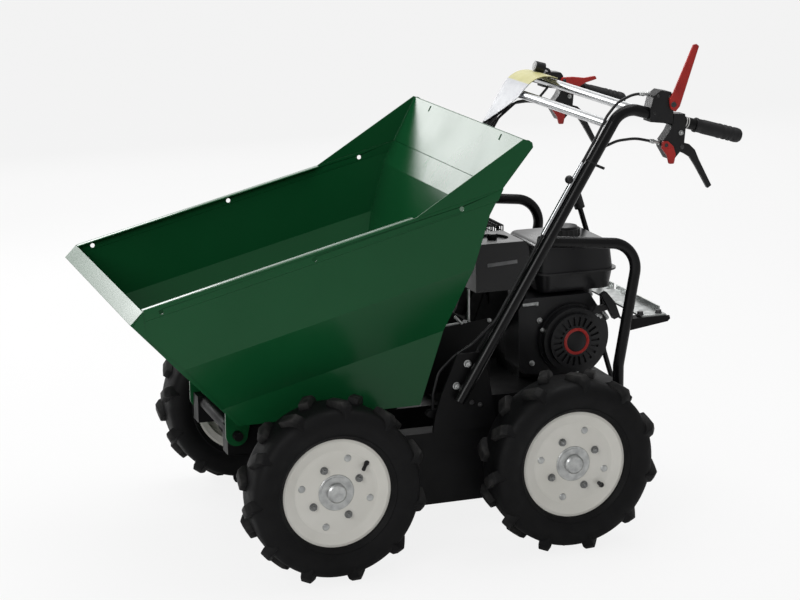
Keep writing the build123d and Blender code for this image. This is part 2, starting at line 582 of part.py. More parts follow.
with BuildPart() as fuel_cap:
    for z, radius, height in ((TANK_Z[1], 27.0, 8.0), (TANK_Z[1] + 8, 34.0, 18.0), (TANK_Z[1] + 26, 29.0, 5.0)):
        with BuildSketch(Plane.XY.offset(z)) as ring:
            with Locations((-368, 55)):
                Circle(radius)
        extrude(ring.sketch, amount=height)
save(fuel_cap.part, "fuel_cap")

with BuildPart() as air_cleaner:
    (x0, x1), (z0, z1) = CLEANER_X, CLEANER_Z
    slab([(x0, z0), (x1, z0), (x1, z1 - 6), (x1 - 6, z1), (x0 + 12, z1), (x0 + 2, z1 - 12), (x0, z1 - 22)], *CLEANER_Y)
    for radius, height, mode in ((36.0, 5.0, Mode.SUBTRACT), (11.0, 14.0, Mode.ADD)):
        with BuildSketch(Plane.XY.offset(z1 - 5)) as ring:
            with Locations(((x0 + x1) / 2, (CLEANER_Y[0] + CLEANER_Y[1]) / 2)):
                Circle(radius)
        extrude(ring.sketch, amount=height, mode=mode)
save(air_cleaner.part, "air_cleaner")

with BuildPart() as muffler:
    (x0, x1), (y0, y1), (z0, z1) = MUFFLER_X, MUFFLER_Y, MUFFLER_Z
    block((x0 + 12, x1 - 12), (y0 + 10, y1 - 10), (z0, z1 - 14))
    fillet(muffler.edges().filter_by(Axis.Y), 20)
save(muffler.part, "muffler")
# slotted sheet guard over the muffler, standing on two posts
with BuildPart() as muffler_guard:
    block((x0 - 4, x1 + 2), (y0 - 6, y1 + 2), (z0 + 10, z1 + 8))
    block((x0 - 2, x1), (y0 - 4, y1), (z0, z1 + 6), mode=Mode.SUBTRACT)
    for count in range(8):
        low = x0 + 6 + count * 13.5
        block((low, low + 10), (y0 + 6, y1 - 10), (z1, z1 + 10), mode=Mode.SUBTRACT)
        block((low, low + 10), (y0 - 10, y0), (z0 + 20, z1 - 6), mode=Mode.SUBTRACT)
    for count in range(6):
        low = y0 + 8 + count * 14.0
        for z in (z0 + 22, z0 + 52, z0 + 82):
            block((x0 - 6, x0), (low, low + 10), (z, z + 24), mode=Mode.SUBTRACT)
    for x in (x0 + 30, x0 + 84):
        block((x - 3, x + 3), ((y0 + y1) / 2 - 6, (y0 + y1) / 2 + 6), (z1 - 14, z1 + 7))
save(muffler_guard.part, "muffler_guard")

with BuildPart() as belt_guard:
    with BuildSketch(Plane.XZ.offset(-BELT_Y[1])) as face:
        with Locations(CRANK):
            Circle(75.0)
        with Locations(BELT_FOOT):
            Circle(38.0)
        make_hull()
    extrude(face.sketch, amount=BELT_Y[1] - BELT_Y[0])
save(belt_guard.part, "belt_guard")


# ---------------------------------------------------------------- gear gate
GATE_NOTCH = (LEVER_Y - 12, LEVER_Y + 12)     # the lever's own place in the plate
ARM_OUT_Y = GUARD_Y - GUARD_R                 # the arms lie against the guards' legs
with BuildPart() as gear_gate:
    block(GATE_X, (-GATE_HALF_Y, GATE_HALF_Y), (GATE_Z, GATE_Z + GATE_T))
    fillet(gear_gate.edges().filter_by(Axis.Z).sort_by(Axis.X)[-2:], 14)
    block((GATE_X[0], GATE_X[0] + 3), (-GATE_HALF_Y + 30, GATE_HALF_Y - 30), (GATE_Z, GATE_Z + 14))
    for low, high in (GATE_NOTCH, (LEVER_Y - 60, LEVER_Y - 44), (LEVER_Y + 44, LEVER_Y + 60)):
        block((GATE_X[0] - 1, GATE_X[0] + 22), (low, high), (GATE_Z, GATE_Z + 20), mode=Mode.SUBTRACT)
save(gear_gate.part, "gear_gate")
with BuildPart() as gate_bracket:
    for side in (-1, 1):
        slab([(-417, GATE_Z), (-417, 438), (-441, 437), (-529, 449), (-535, 455), (-533, GATE_Z)],
             *sorted((side * (ARM_OUT_Y - 4), side * ARM_OUT_Y)))
        block((-530, -425), sorted((side * (ARM_OUT_Y - 30), side * ARM_OUT_Y)), (GATE_Z - 3, GATE_Z))
save(gate_bracket.part, "gate_bracket")
LEVER_BEND, LEVER_TOP = (-474.0, 598.0), (-456.4, 653.0)     # (x, z)
KNOB_GRASP = 4.0
with BuildPart() as gear_lever:
    lever_view = [(-550.0, RAIL_BOTTOM_Z - 6), (-522.0, 307.0), (-515.0, 464.0), LEVER_BEND, LEVER_TOP]
    round_bar([(x, LEVER_Y, z) for x, z in lever_view], [40, 40, 60], LEVER_R)
save(gear_lever.part, "gear_lever")
knob_x, knob_z = toward(LEVER_TOP, LEVER_BEND, KNOB_GRASP)
with BuildPart() as gear_knob:
    knob_foot = Plane(origin=(knob_x, LEVER_Y, knob_z), z_dir=(LEVER_TOP[0] - LEVER_BEND[0], 0,
                                                              LEVER_TOP[1] - LEVER_BEND[1]))
    for radius, length, mode in ((12.0, 60.0, Mode.ADD), (LEVER_R + 0.1, KNOB_GRASP, Mode.SUBTRACT)):
        with BuildSketch(knob_foot) as grip_face:
            Circle(radius)
        extrude(grip_face.sketch, amount=length, mode=mode)
    fillet(gear_knob.faces().sort_by(Axis.Z)[-1].edges(), 8)
save(gear_knob.part, "gear_knob")


# ---------------------------------------------------------------- hopper
def rim_z(x):
    """Height of the side rims at x."""
    return RIM_FRONT[1] + RIM_SLOPE * (RIM_FRONT[0] - x)


# the raised back above the rims: a leaning plate, a triangular flare each side, a folded lip on top
BACK_LEAN = (BACK_TOP[0] - BACK_BEND[0]) / (BACK_TOP[1] - BACK_BEND[1])


def back_x(z):
    """Outer face of the leaning back plate at height z."""
    return BACK_BEND[0] + BACK_LEAN * (z - BACK_BEND[1])


def back_rim():
    """Where the rim line meets the outer face of the back plate, as (x, z)."""
    z = (rim_z(BACK_BEND[0]) + RIM_SLOPE * BACK_LEAN * BACK_BEND[1]) / (1 + RIM_SLOPE * BACK_LEAN)
    return (back_x(z), z)


def inset(outline, wall):
    """The outline moved inwards by the wall, corners kept."""
    with BuildSketch(Plane.XZ) as moved:
        with BuildLine():
            Polyline(*outline, close=True)
        make_face()
        if wall:
            offset(amount=-wall, kind=Kind.INTERSECTION, mode=Mode.REPLACE)
    return moved.sketch


def tub_body(side_view, wall, side_wall, headroom=0.0):
    """A solid with that side view, between the hopper's folded sides. Its skin is taken in by `wall` in
    side view and by `side_wall` at the sides, and the sides are raised by `headroom`."""
    top = RIM_SLOPE * RIM_FRONT[0] + RIM_FRONT[1]
    front_view = [(HOPPER_HALF_W, top + headroom)]
    front_view += [(HOPPER_HALF_W - inwards, top - drop) for inwards, drop in SIDE_CREASES]
    front_view += [(-half, z) for half, z in reversed(front_view)]
    with BuildPart() as body:
        extrude(inset(side_view, wall), amount=HOPPER_HALF_W + 50, both=True)
        with BuildSketch(Plane(origin=(0, 0, 0), x_dir=(0, 1, 0), z_dir=(1, 0, 0))) as section:
            with BuildLine():
                Polyline(*front_view, close=True)
            make_face()
            if side_wall:
                offset(amount=-side_wall, kind=Kind.INTERSECTION, mode=Mode.REPLACE)
        lean = Vector(1, 0, -RIM_SLOPE)
        extrude(section.sketch, amount=900, dir=lean, both=True, mode=Mode.INTERSECT)
    return body.part


def tub_view(headroom):
    """Side view of the tub, with its open top raised by `headroom`."""
    rear_x, rear_z = back_rim()
    return [(FLOOR_REAR_X, FLOOR_Z), (FLOOR_FRONT_X, FLOOR_Z), NOSE, (RIM_FRONT[0], RIM_FRONT[1] + headroom),
            (back_x(rear_z + headroom), rear_z + headroom), BACK_BEND]


BAND_REAR_X, BAND_FRONT_X = -110.0, RIM_FRONT[0] - 6
band_view = [(BAND_REAR_X, rim_z(BAND_REAR_X)), (BAND_REAR_X + 12, rim_z(BAND_REAR_X + 12) - RIM_BAND),
             (BAND_FRONT_X, rim_z(BAND_FRONT_X) - RIM_BAND), (BAND_FRONT_X, rim_z(BAND_FRONT_X))]
band_room = [(-200.0, rim_z(-200.0) + 5), (-200.0, rim_z(-200.0) - RIM_BAND), band_view[2],
             (BAND_FRONT_X, rim_z(BAND_FRONT_X) + 5)]

with BuildPart() as hopper_tub:
    add(tub_body(tub_view(0.0), 0.0, 0.0))
    add(tub_body(tub_view(80.0), SHEET, SHEET, 80.0), mode=Mode.SUBTRACT)
    for side in (-1, 1):
        slab(band_room, *sorted((side * (HOPPER_HALF_W - SHEET), side * (HOPPER_HALF_W + 5))), mode=Mode.SUBTRACT)
with BuildPart() as front_hems:
    add(tub_body([(FLOOR_FRONT_X, FLOOR_Z), NOSE, RIM_FRONT] + FRONT_HEM, 0.0, -HEM_PROUD))
    add(tub_body(tub_view(0.0), 0.0, 0.0), mode=Mode.SUBTRACT)
save(hopper_tub.part, "hopper_tub")
save(front_hems.part, "front_hems")

for name, side in (("left", 1), ("right", -1)):
    with BuildPart() as rim_band:
        low, high = sorted((side * (HOPPER_HALF_W - SHEET), side * HOPPER_HALF_W))
        slab(band_view, low, high)
        for x in RIM_HOLES_X:
            disc(x, rim_z(x) - RIM_HOLE_DROP, RIM_HOLE_R, low - 1, high + 1, mode=Mode.SUBTRACT)
    save(rim_band.part, f"rim_band_{name}")

with BuildPart() as pivot_ears:
    for side in (-1, 1):
        low, high = sorted((side * EAR_INNER_Y, side * (EAR_INNER_Y + EAR_T)))
        slab([(PIVOT[0] - EAR_R - 12, FLOOR_Z), (PIVOT[0] - EAR_R, PIVOT[1]), (PIVOT[0] + EAR_R, PIVOT[1]),
              (PIVOT[0] + EAR_R, FLOOR_Z)], low, high)
        disc(*PIVOT, EAR_R, low, high)
        disc(*PIVOT, PIVOT_R + RUNNING_GAP, low, high, mode=Mode.SUBTRACT)
save(pivot_ears.part, "pivot_ears")

# the raised back: a leaning plate, and a triangular flare each side whose rear edge is a tapering fold
BACK_SLOT_Y, BACK_SLOT_Z = (210.0, 217.0), (868.0, 879.0)
with BuildPart() as hopper_back:
    foot = back_rim()
    back_top_in = (BACK_TOP[0] + SHEET + 3, BACK_TOP[1] + 2)
    slab([(FLARE_START_X, rim_z(FLARE_START_X)), foot, BACK_TOP, back_top_in], -HOPPER_HALF_W, HOPPER_HALF_W)
    face_x = foot[0] + SHEET * 1.2
    room = [(FLARE_START_X + 20, rim_z(FLARE_START_X + 20) - 20), (face_x, foot[1] - 20), (face_x, foot[1]),
            (BACK_TOP[0] + SHEET * 1.2, BACK_TOP[1]), (BACK_TOP[0] + SHEET * 1.2, BACK_TOP[1] + 30),
            (FLARE_START_X + 20, BACK_TOP[1] + 30)]
    slab(room, -HOPPER_HALF_W + SHEET, HOPPER_HALF_W - SHEET, mode=Mode.SUBTRACT)
    fold = [foot, (BACK_TOP[0] - 15, BACK_TOP[1] - 16), (BACK_TOP[0] - 13, BACK_TOP[1] - 6),
            (BACK_TOP[0] - 5, BACK_TOP[1] - 0.5), BACK_TOP]
    for side in (-1, 1):
        slab(fold, *sorted((side * (HOPPER_HALF_W - SHEET), side * HOPPER_HALF_W)))
        block((BACK_TOP[0] - 20, BACK_TOP[0] + 20), sorted((side * BACK_SLOT_Y[0], side * BACK_SLOT_Y[1])), BACK_SLOT_Z,
              mode=Mode.SUBTRACT)
save(hopper_back.part, "hopper_back")

with BuildPart() as front_lip:
    slab([RIM_FRONT, LIP_TIP, NOSE], -HOPPER_HALF_W, HOPPER_HALF_W)
save(front_lip.part, "front_lip")
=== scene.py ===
import math
import bmesh
import bpy
from mathutils import Matrix, Vector


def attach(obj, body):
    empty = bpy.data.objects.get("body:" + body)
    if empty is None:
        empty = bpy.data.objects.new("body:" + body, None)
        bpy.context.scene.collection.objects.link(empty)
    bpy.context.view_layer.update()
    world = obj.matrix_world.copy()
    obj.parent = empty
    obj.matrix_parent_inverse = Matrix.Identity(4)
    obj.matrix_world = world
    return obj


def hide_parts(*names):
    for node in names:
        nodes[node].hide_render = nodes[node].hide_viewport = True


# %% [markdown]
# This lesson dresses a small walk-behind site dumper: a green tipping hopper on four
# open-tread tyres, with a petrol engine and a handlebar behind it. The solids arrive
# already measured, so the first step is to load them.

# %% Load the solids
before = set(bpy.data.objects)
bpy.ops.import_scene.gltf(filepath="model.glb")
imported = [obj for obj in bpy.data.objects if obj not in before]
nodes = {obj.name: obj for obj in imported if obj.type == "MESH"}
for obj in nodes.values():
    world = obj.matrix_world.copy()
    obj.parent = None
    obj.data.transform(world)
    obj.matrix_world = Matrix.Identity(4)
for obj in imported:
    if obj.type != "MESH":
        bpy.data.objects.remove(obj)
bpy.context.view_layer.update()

# %% [markdown]
# The whole machine is over a metre long, and it is best shown from a little way off
# with a long lens, so that near and far wheels are nearly one size. The view is given
# as a place and three turns: it is the plainest way to repeat the same view.

# %% The camera's place and lens
CAMERA_PLACE = Vector((1.5353, 4.3636, 1.6158))
YAW, PITCH, ROLL = 0.338107, 0.239309, -0.010271
LENS_MM, SENSOR_MM = 97.05, 36.0
look = Vector((-math.sin(YAW) * math.cos(PITCH), -math.cos(YAW) * math.cos(PITCH), -math.sin(PITCH)))
level_right = look.cross(Vector((0, 0, 1))).normalized()
level_up = level_right.cross(look)
print("looking along", tuple(round(part, 3) for part in look))

# %% Make the camera
camera_right = level_right * math.cos(ROLL) + level_up * math.sin(ROLL)
camera_up = level_up * math.cos(ROLL) - level_right * math.sin(ROLL)
lens = bpy.data.cameras.new("camera")
lens.lens, lens.sensor_width = LENS_MM, SENSOR_MM
camera = bpy.data.objects.new("camera", lens)
bpy.context.scene.collection.objects.link(camera)
camera_turn = Matrix((camera_right, camera_up, -look)).transposed()
camera.matrix_world = Matrix.Translation(CAMERA_PLACE) @ camera_turn.to_4x4()
bpy.context.scene.camera = camera
bpy.context.scene.view_settings.view_transform = "Standard"
print("camera stands", round(CAMERA_PLACE.length, 2), "m from the origin")

# %% [markdown]
# Studio light is soft and comes from large panels. The room round them is plain and
# dim: dark paint and rubber mirror a little of it even where they look matt, so a
# bright room would turn every black part grey. What the eye sees of the room itself
# is white, and Light Path tells that apart from what lights the machine.

# %% The room
SEEN_WHITE, ROOM_LIGHT = 1.0, 0.34
world = bpy.data.worlds.new("studio_room")
world.use_nodes = True
bpy.context.scene.world = world
room = world.node_tree
room.nodes.clear()
room_out = room.nodes.new("ShaderNodeOutputWorld")
seen_room, lit_room = room.nodes.new("ShaderNodeBackground"), room.nodes.new("ShaderNodeBackground")
seen_room.inputs["Strength"].default_value = SEEN_WHITE
lit_room.inputs["Strength"].default_value = ROOM_LIGHT
for background in (seen_room, lit_room):
    background.inputs["Color"].default_value = (1.0, 1.0, 1.0, 1.0)
print("room light:", ROOM_LIGHT)


# %% Which rays see the white
def seen_rays(tree):
    """A socket that is 1 for rays that come straight from the eye, or through glass."""
    path = tree.nodes.new("ShaderNodeLightPath")
    either = tree.nodes.new("ShaderNodeMath")
    either.operation = "MAXIMUM"
    tree.links.new(path.outputs["Is Camera Ray"], either.inputs[0])
    tree.links.new(path.outputs["Is Transmission Ray"], either.inputs[1])
    return either.outputs[0]


room_mix = room.nodes.new("ShaderNodeMixShader")
room.links.new(seen_rays(room), room_mix.inputs[0])
room.links.new(lit_room.outputs[0], room_mix.inputs[1])
room.links.new(seen_room.outputs[0], room_mix.inputs[2])
room.links.new(room_mix.outputs[0], room_out.inputs["Surface"])

# %% [markdown]
# Four panels light the machine. One hangs overhead and one stands on the camera's side
# as a fill. A wide one stands behind, where every level surface mirrors it, and a small
# one beside it is mirrored by the leaning back plate of the hopper. Such long mirrored
# patches are what tells the eye that paint is glossy and steel is bright.

# %% Soft panels
# (name, place, what it points at, width, height, watts)
PANELS = [
    ("overhead_panel", (-0.2, -0.45, 2.9), (0.0, 0.0, 0.5), 2.8, 2.0, 46.0),
    ("fill_panel", (2.9, 3.0, 2.3), (0.1, 0.0, 0.4), 1.8, 1.6, 40.0),
    ("rear_wall_panel", (0.2, -4.7, 1.95), (0.2, 0.0, 1.1), 7.0, 2.3, 62.0),
    ("rear_panel", (1.0, -2.95, 1.62), (-0.12, 0.0, 0.81), 1.7, 0.8, 24.0),
]
for name, place, target, width, height, watts in PANELS:
    lamp = bpy.data.lights.new(name, "AREA")
    lamp.shape, lamp.size, lamp.size_y, lamp.energy = "RECTANGLE", width, height, watts
    panel = bpy.data.objects.new(name, lamp)
    bpy.context.scene.collection.objects.link(panel)
    panel.location = place
    panel.rotation_euler = (Vector(target) - Vector(place)).to_track_quat("-Z", "Y").to_euler()
    panel.visible_camera = False
    print(name, watts, "W")

# %% [markdown]
# A finish is never one flat colour. Even new paint varies a little in tone, its gloss
# changes from place to place, and its surface has a fine texture. One maker function
# gives all three to every finish, each driven by noise in the object's own metres, so
# that the pattern stays with the piece and keeps its real scale.


# %% A noise pattern in metres
def noise_in(tree, scale, detail=3.0):
    """Noise over the piece's own coordinates; `scale` is in waves per metre."""
    coords = tree.nodes.new("ShaderNodeTexCoord")
    noise = tree.nodes.new("ShaderNodeTexNoise")
    noise.inputs["Scale"].default_value = scale
    noise.inputs["Detail"].default_value = detail
    tree.links.new(coords.outputs["Object"], noise.inputs["Vector"])
    return noise.outputs["Fac"]


# %% A two-tone blend
def blend_of(tree, pattern, low, high, dark, light):
    """Colour that goes from dark to light as the pattern goes from low to high."""
    ramp = tree.nodes.new("ShaderNodeValToRGB")
    ramp.color_ramp.elements[0].position, ramp.color_ramp.elements[1].position = low, high
    ramp.color_ramp.elements[0].color = (*dark, 1.0)
    ramp.color_ramp.elements[1].color = (*light, 1.0)
    tree.links.new(pattern, ramp.inputs[0])
    return ramp.outputs[0]


# %% The maker of finishes
TONE_SPAN = (0.3, 0.7)       # the part of the noise over which tone and gloss change
GLOSS_TO_TONE = 2.3          # gloss changes over shorter distances than tone does
GRAIN_HEIGHT = 0.0004        # in metres


def make_finish(name, dark, light, rough, tone=9.0, texture=900.0, depth=0.1, **fixed):
    """A Principled finish; rough is (least, most), texture the fine grain's scale, depth its bump."""
    finish = bpy.data.materials.new(name)
    finish.use_nodes = True
    tree = finish.node_tree
    shader = tree.nodes["Principled BSDF"]
    tree.links.new(blend_of(tree, noise_in(tree, tone), *TONE_SPAN, dark, light), shader.inputs["Base Color"])
    spread = tree.nodes.new("ShaderNodeMapRange")
    spread.inputs["From Min"].default_value, spread.inputs["From Max"].default_value = TONE_SPAN
    spread.inputs["To Min"].default_value, spread.inputs["To Max"].default_value = rough
    tree.links.new(noise_in(tree, tone * GLOSS_TO_TONE), spread.inputs["Value"])
    tree.links.new(spread.outputs["Result"], shader.inputs["Roughness"])
    grain = tree.nodes.new("ShaderNodeBump")
    grain.inputs["Strength"].default_value = depth
    grain.inputs["Distance"].default_value = GRAIN_HEIGHT
    tree.links.new(noise_in(tree, texture, 2.0), grain.inputs["Height"])
    tree.links.new(grain.outputs["Normal"], shader.inputs["Normal"])
    for socket, value in fixed.items():
        shader.inputs[socket.replace("_", " ")].default_value = value
    finish.diffuse_color = (*light, 1.0)
    print("finish", name)
    return finish


# %% A second colour over a finish
def lay_over(tree, amount, colour):
    """Blends colour over the finish's own base colour, as much as amount says."""
    base = tree.nodes["Principled BSDF"].inputs["Base Color"]
    own_colour = base.links[0].from_socket
    mix = tree.nodes.new("ShaderNodeMix")
    mix.data_type = "RGBA"
    tree.links.new(amount, mix.inputs["Factor"])
    tree.links.new(own_colour, mix.inputs["A"])
    tree.links.new(colour, mix.inputs["B"])
    tree.links.new(mix.outputs["Result"], base)


# %% [markdown]
# The hopper is sprayed in gloss green. Thick sprayed paint dries with a faint ripple,
# called orange peel, under a clear and shiny skin, so the finish has a slow bump. The
# frame is a satin black, and the engine's pressed covers a glossier one.

# %% Painted finishes
green_gloss = make_finish("green_gloss", (0.0055, 0.078, 0.0235), (0.0072, 0.092, 0.0285), (0.16, 0.26),
                          tone=3.0, texture=140.0, depth=0.05, Specular_IOR_Level=0.28)
satin_black = make_finish("satin_black", (0.0030, 0.0030, 0.0034), (0.0052, 0.0052, 0.0058), (0.20, 0.30),
                          texture=420.0, depth=0.08, Specular_IOR_Level=0.26)
frame_matt = make_finish("frame_matt", (0.0030, 0.0030, 0.0034), (0.0056, 0.0056, 0.0062), (0.44, 0.58),
                         texture=420.0, depth=0.15, Specular_IOR_Level=0.2)
engine_gloss = make_finish("engine_gloss", (0.0045, 0.0045, 0.0055), (0.0070, 0.0070, 0.0085), (0.32, 0.44),
                           texture=300.0, depth=0.06, Specular_IOR_Level=0.45)
tank_gloss = make_finish("tank_gloss", (0.0060, 0.0060, 0.0070), (0.0095, 0.0095, 0.0110), (0.26, 0.34),
                         texture=240.0, depth=0.05, Specular_IOR_Level=0.5)
rim_paint = make_finish("rim_paint", (0.74, 0.725, 0.665), (0.80, 0.785, 0.73), (0.34, 0.46), tone=10.0,
                        texture=260.0, depth=0.08, Coat_Weight=0.2, Coat_Roughness=0.2)

# %% [markdown]
# Bright metal parts differ by how they were treated. Zinc plate is dull with faint
# cloudy patches, chrome on the cross tubes is nearly a mirror, and hot-dipped sheet,
# which the gear gate is cut from, shows large patches where the zinc froze.

# %% Metal finishes
zinc_plate = make_finish("zinc_plate", (0.42, 0.43, 0.43), (0.66, 0.67, 0.66), (0.30, 0.48), tone=60.0,
                         texture=1500.0, depth=0.1, Metallic=1.0)
bright_chrome = make_finish("bright_chrome", (0.42, 0.43, 0.44), (0.58, 0.59, 0.60), (0.14, 0.26), tone=25.0,
                            texture=1800.0, depth=0.04, Metallic=1.0)
dipped_sheet = make_finish("dipped_sheet", (0.40, 0.42, 0.41), (0.60, 0.62, 0.61), (0.28, 0.5), tone=45.0,
                           texture=700.0, depth=0.08, Metallic=1.0)
dark_cast = make_finish("dark_cast", (0.006, 0.006, 0.0068), (0.016, 0.016, 0.0175), (0.45, 0.65), tone=35.0,
                        texture=650.0, depth=0.45, Metallic=0.2, Specular_IOR_Level=0.3)
dull_zinc = make_finish("dull_zinc", (0.16, 0.165, 0.165), (0.34, 0.345, 0.34), (0.36, 0.52), tone=80.0,
                        texture=1500.0, depth=0.12, Metallic=1.0)
blued_steel = make_finish("blued_steel", (0.05, 0.05, 0.052), (0.11, 0.11, 0.112), (0.32, 0.5), tone=50.0,
                          texture=900.0, depth=0.2, Metallic=0.9)

# %% [markdown]
# Rubber and moulded plastic are not shiny: light sinks into their fine grain. The grip
# is soft and grainy, the lever housings are finer, and the red keys have some gloss.

# %% Moulded finishes
grip_rubber = make_finish("grip_rubber", (0.011, 0.011, 0.012), (0.020, 0.020, 0.021), (0.50, 0.64),
                          tone=40.0, texture=1600.0, depth=0.5, Specular_IOR_Level=0.35)
moulded_black = make_finish("moulded_black", (0.0060, 0.0060, 0.0068), (0.0110, 0.0110, 0.0120), (0.34, 0.48),
                            tone=30.0, texture=1300.0, depth=0.25, Specular_IOR_Level=0.4)
moulded_red = make_finish("moulded_red", (0.36, 0.014, 0.012), (0.50, 0.024, 0.018), (0.26, 0.38), tone=30.0,
                          texture=900.0, depth=0.08)
label_grey = make_finish("label_grey", (0.17, 0.17, 0.175), (0.24, 0.24, 0.245), (0.3, 0.42), tone=80.0,
                         texture=1200.0, depth=0.05)
# plain white for the thin rings round the bars
ring_white = make_finish("ring_white", (0.62, 0.62, 0.60), (0.74, 0.74, 0.72), (0.35, 0.5), tone=60.0,
                         texture=900.0, depth=0.05)

# %% [markdown]
# The console plate is white with a pale yellow band across its crown. The band is a
# colour, not a piece, so it is blended in by height above the ground.

# %% The console plate's finish
BAND_LOW, BAND_HIGH = 0.9225, 0.9245
console_finish = make_finish("console_finish", (0.50, 0.51, 0.54), (0.56, 0.57, 0.60), (0.36, 0.48),
                             tone=20.0, texture=500.0, depth=0.05, Specular_IOR_Level=0.4)
console_tree = console_finish.node_tree
console_place = console_tree.nodes.new("ShaderNodeTexCoord")
console_split = console_tree.nodes.new("ShaderNodeSeparateXYZ")
console_tree.links.new(console_place.outputs["Object"], console_split.inputs[0])
band_edge = console_tree.nodes.new("ShaderNodeMapRange")
band_edge.inputs["From Min"].default_value, band_edge.inputs["From Max"].default_value = BAND_LOW, BAND_HIGH
console_tree.links.new(console_split.outputs["Z"], band_edge.inputs["Value"])
print("yellow band from", BAND_LOW, "m up")

# %% Lay the band over the white
YELLOW_DARK, YELLOW_LIGHT = (0.52, 0.49, 0.22), (0.58, 0.55, 0.28)
yellow_tone = blend_of(console_tree, noise_in(console_tree, 30.0), *TONE_SPAN, YELLOW_DARK, YELLOW_LIGHT)
lay_over(console_tree, band_edge.outputs["Result"], yellow_tone)
print("console has", len(console_tree.nodes), "shader nodes")

# %% [markdown]
# Tyre rubber is a matt near-black. The lugs' tips rub on the ground and turn grey, while
# the sidewall stays dark, so the finish reads how far out each point is. That number is
# stored on the tyre's mesh, because it is the same on all four wheels.

# %% The tyre's finish
tyre_rubber = make_finish("tyre_rubber", (0.0028, 0.0028, 0.0032), (0.0050, 0.0050, 0.0056), (0.50, 0.66),
                          tone=16.0, texture=800.0, depth=0.3, Specular_IOR_Level=0.2)
tyre_tree = tyre_rubber.node_tree
WORN_DARK, WORN_LIGHT = (0.010, 0.010, 0.0105), (0.034, 0.033, 0.032)
worn_tone = blend_of(tyre_tree, noise_in(tyre_tree, 55.0), 0.35, 0.7, WORN_DARK, WORN_LIGHT)
worn_place = tyre_tree.nodes.new("ShaderNodeAttribute")
worn_place.attribute_name = "worn"
lay_over(tyre_tree, worn_place.outputs["Fac"], worn_tone)
print("tyre reads the attribute", worn_place.attribute_name)

# %% [markdown]
# The floor is only a stage. It is pale, and what the eye sees of it is part plain white
# and part lit surface, so the machine's soft shadow still falls on it.

# %% The floor's finish
FLOOR_WHITE_SHARE = 0.85
floor_finish = make_finish("floor_finish", (0.84, 0.84, 0.84), (0.87, 0.87, 0.87), (0.8, 0.9), tone=1.5,
                           texture=200.0, depth=0.02)
floor_tree = floor_finish.node_tree
floor_out = floor_tree.nodes["Material Output"]
floor_glow = floor_tree.nodes.new("ShaderNodeEmission")
floor_glow.inputs["Strength"].default_value = 1.0
floor_share = floor_tree.nodes.new("ShaderNodeMath")
floor_share.operation = "MULTIPLY"
floor_share.inputs[1].default_value = FLOOR_WHITE_SHARE
floor_tree.links.new(seen_rays(floor_tree), floor_share.inputs[0])
floor_mix = floor_tree.nodes.new("ShaderNodeMixShader")
floor_tree.links.new(floor_share.outputs[0], floor_mix.inputs[0])
floor_tree.links.new(floor_tree.nodes["Principled BSDF"].outputs[0], floor_mix.inputs[1])
floor_tree.links.new(floor_glow.outputs[0], floor_mix.inputs[2])
floor_tree.links.new(floor_mix.outputs[0], floor_out.inputs["Surface"])
print("floor white share:", FLOOR_WHITE_SHARE)

# %% Lay the floor
FLOOR_HALF = 20.0
floor_shape = bmesh.new()
bmesh.ops.create_grid(floor_shape, x_segments=2, y_segments=2, size=FLOOR_HALF)
floor_mesh = bpy.data.meshes.new("studio_floor")
floor_shape.to_mesh(floor_mesh)
floor_shape.free()
floor_mesh.materials.append(floor_finish)
studio_floor = bpy.data.objects.new("studio_floor", floor_mesh)
bpy.context.scene.collection.objects.link(studio_floor)
print("floor is", 2 * FLOOR_HALF, "m square")

# %% [markdown]
# Every solid gets the finish of its real material. The solids themselves are right in
# shape, so only their material slots change here.

# %% Which solid has which finish
FINISH_OF = {
    green_gloss: ["hopper_tub", "hopper_back", "front_lip", "pivot_ears", "rim_band_left", "rim_band_right",
                  "front_hems"],
    frame_matt: ["chassis_frame", "engine_deck", "drive_cases", "front_axle", "rear_axle", "gearbox",
                 "handle_brackets", "gate_bracket", "belt_guard", "rest_pads", "tip_latch"],
    satin_black: ["handle_tubes", "engine_guards", "gear_lever"],
    engine_gloss: ["fan_shroud", "recoil_starter"],
    tank_gloss: ["fuel_tank", "air_cleaner"],
    dark_cast: ["engine_block", "muffler_guard"],
    blued_steel: ["muffler"],
    zinc_plate: ["hub_front_left", "hub_front_right", "hub_rear_left", "hub_rear_right"],
    dipped_sheet: ["gear_gate"],
    bright_chrome: ["cross_tubes", "cable_sleeve"],
    grip_rubber: ["grips", "gear_knob"],
    moulded_black: ["lever_housings", "lever_clamps", "brake_levers", "latch_knob", "starter_handle",
                    "fuel_cap", "engine_switch", "control_cables"],
    moulded_red: ["lever_pawls", "red_lever_left", "red_lever_right"],
    console_finish: ["console_plate"],
    rim_paint: ["rim_front_left", "rim_front_right", "rim_rear_left", "rim_rear_right"],
    tyre_rubber: ["tyre_front_left", "tyre_front_right", "tyre_rear_left", "tyre_rear_right"],
}
for finish, names in FINISH_OF.items():
    for name in names:
        for place_slot in nodes[name].material_slots:
            place_slot.material = finish
print("dressed", sum(len(names) for names in FINISH_OF.values()), "of", len(nodes))

# %% [markdown]
# Folded sheet, cut plate and castings never have knife edges. A small rounding along
# each sharp edge catches a line of light, which is what makes steel look like steel.
# A Bevel modifier does this without touching the solid's own mesh: Weld first joins the
# mesh's separate corners, and Weighted Normal keeps the flats flat.


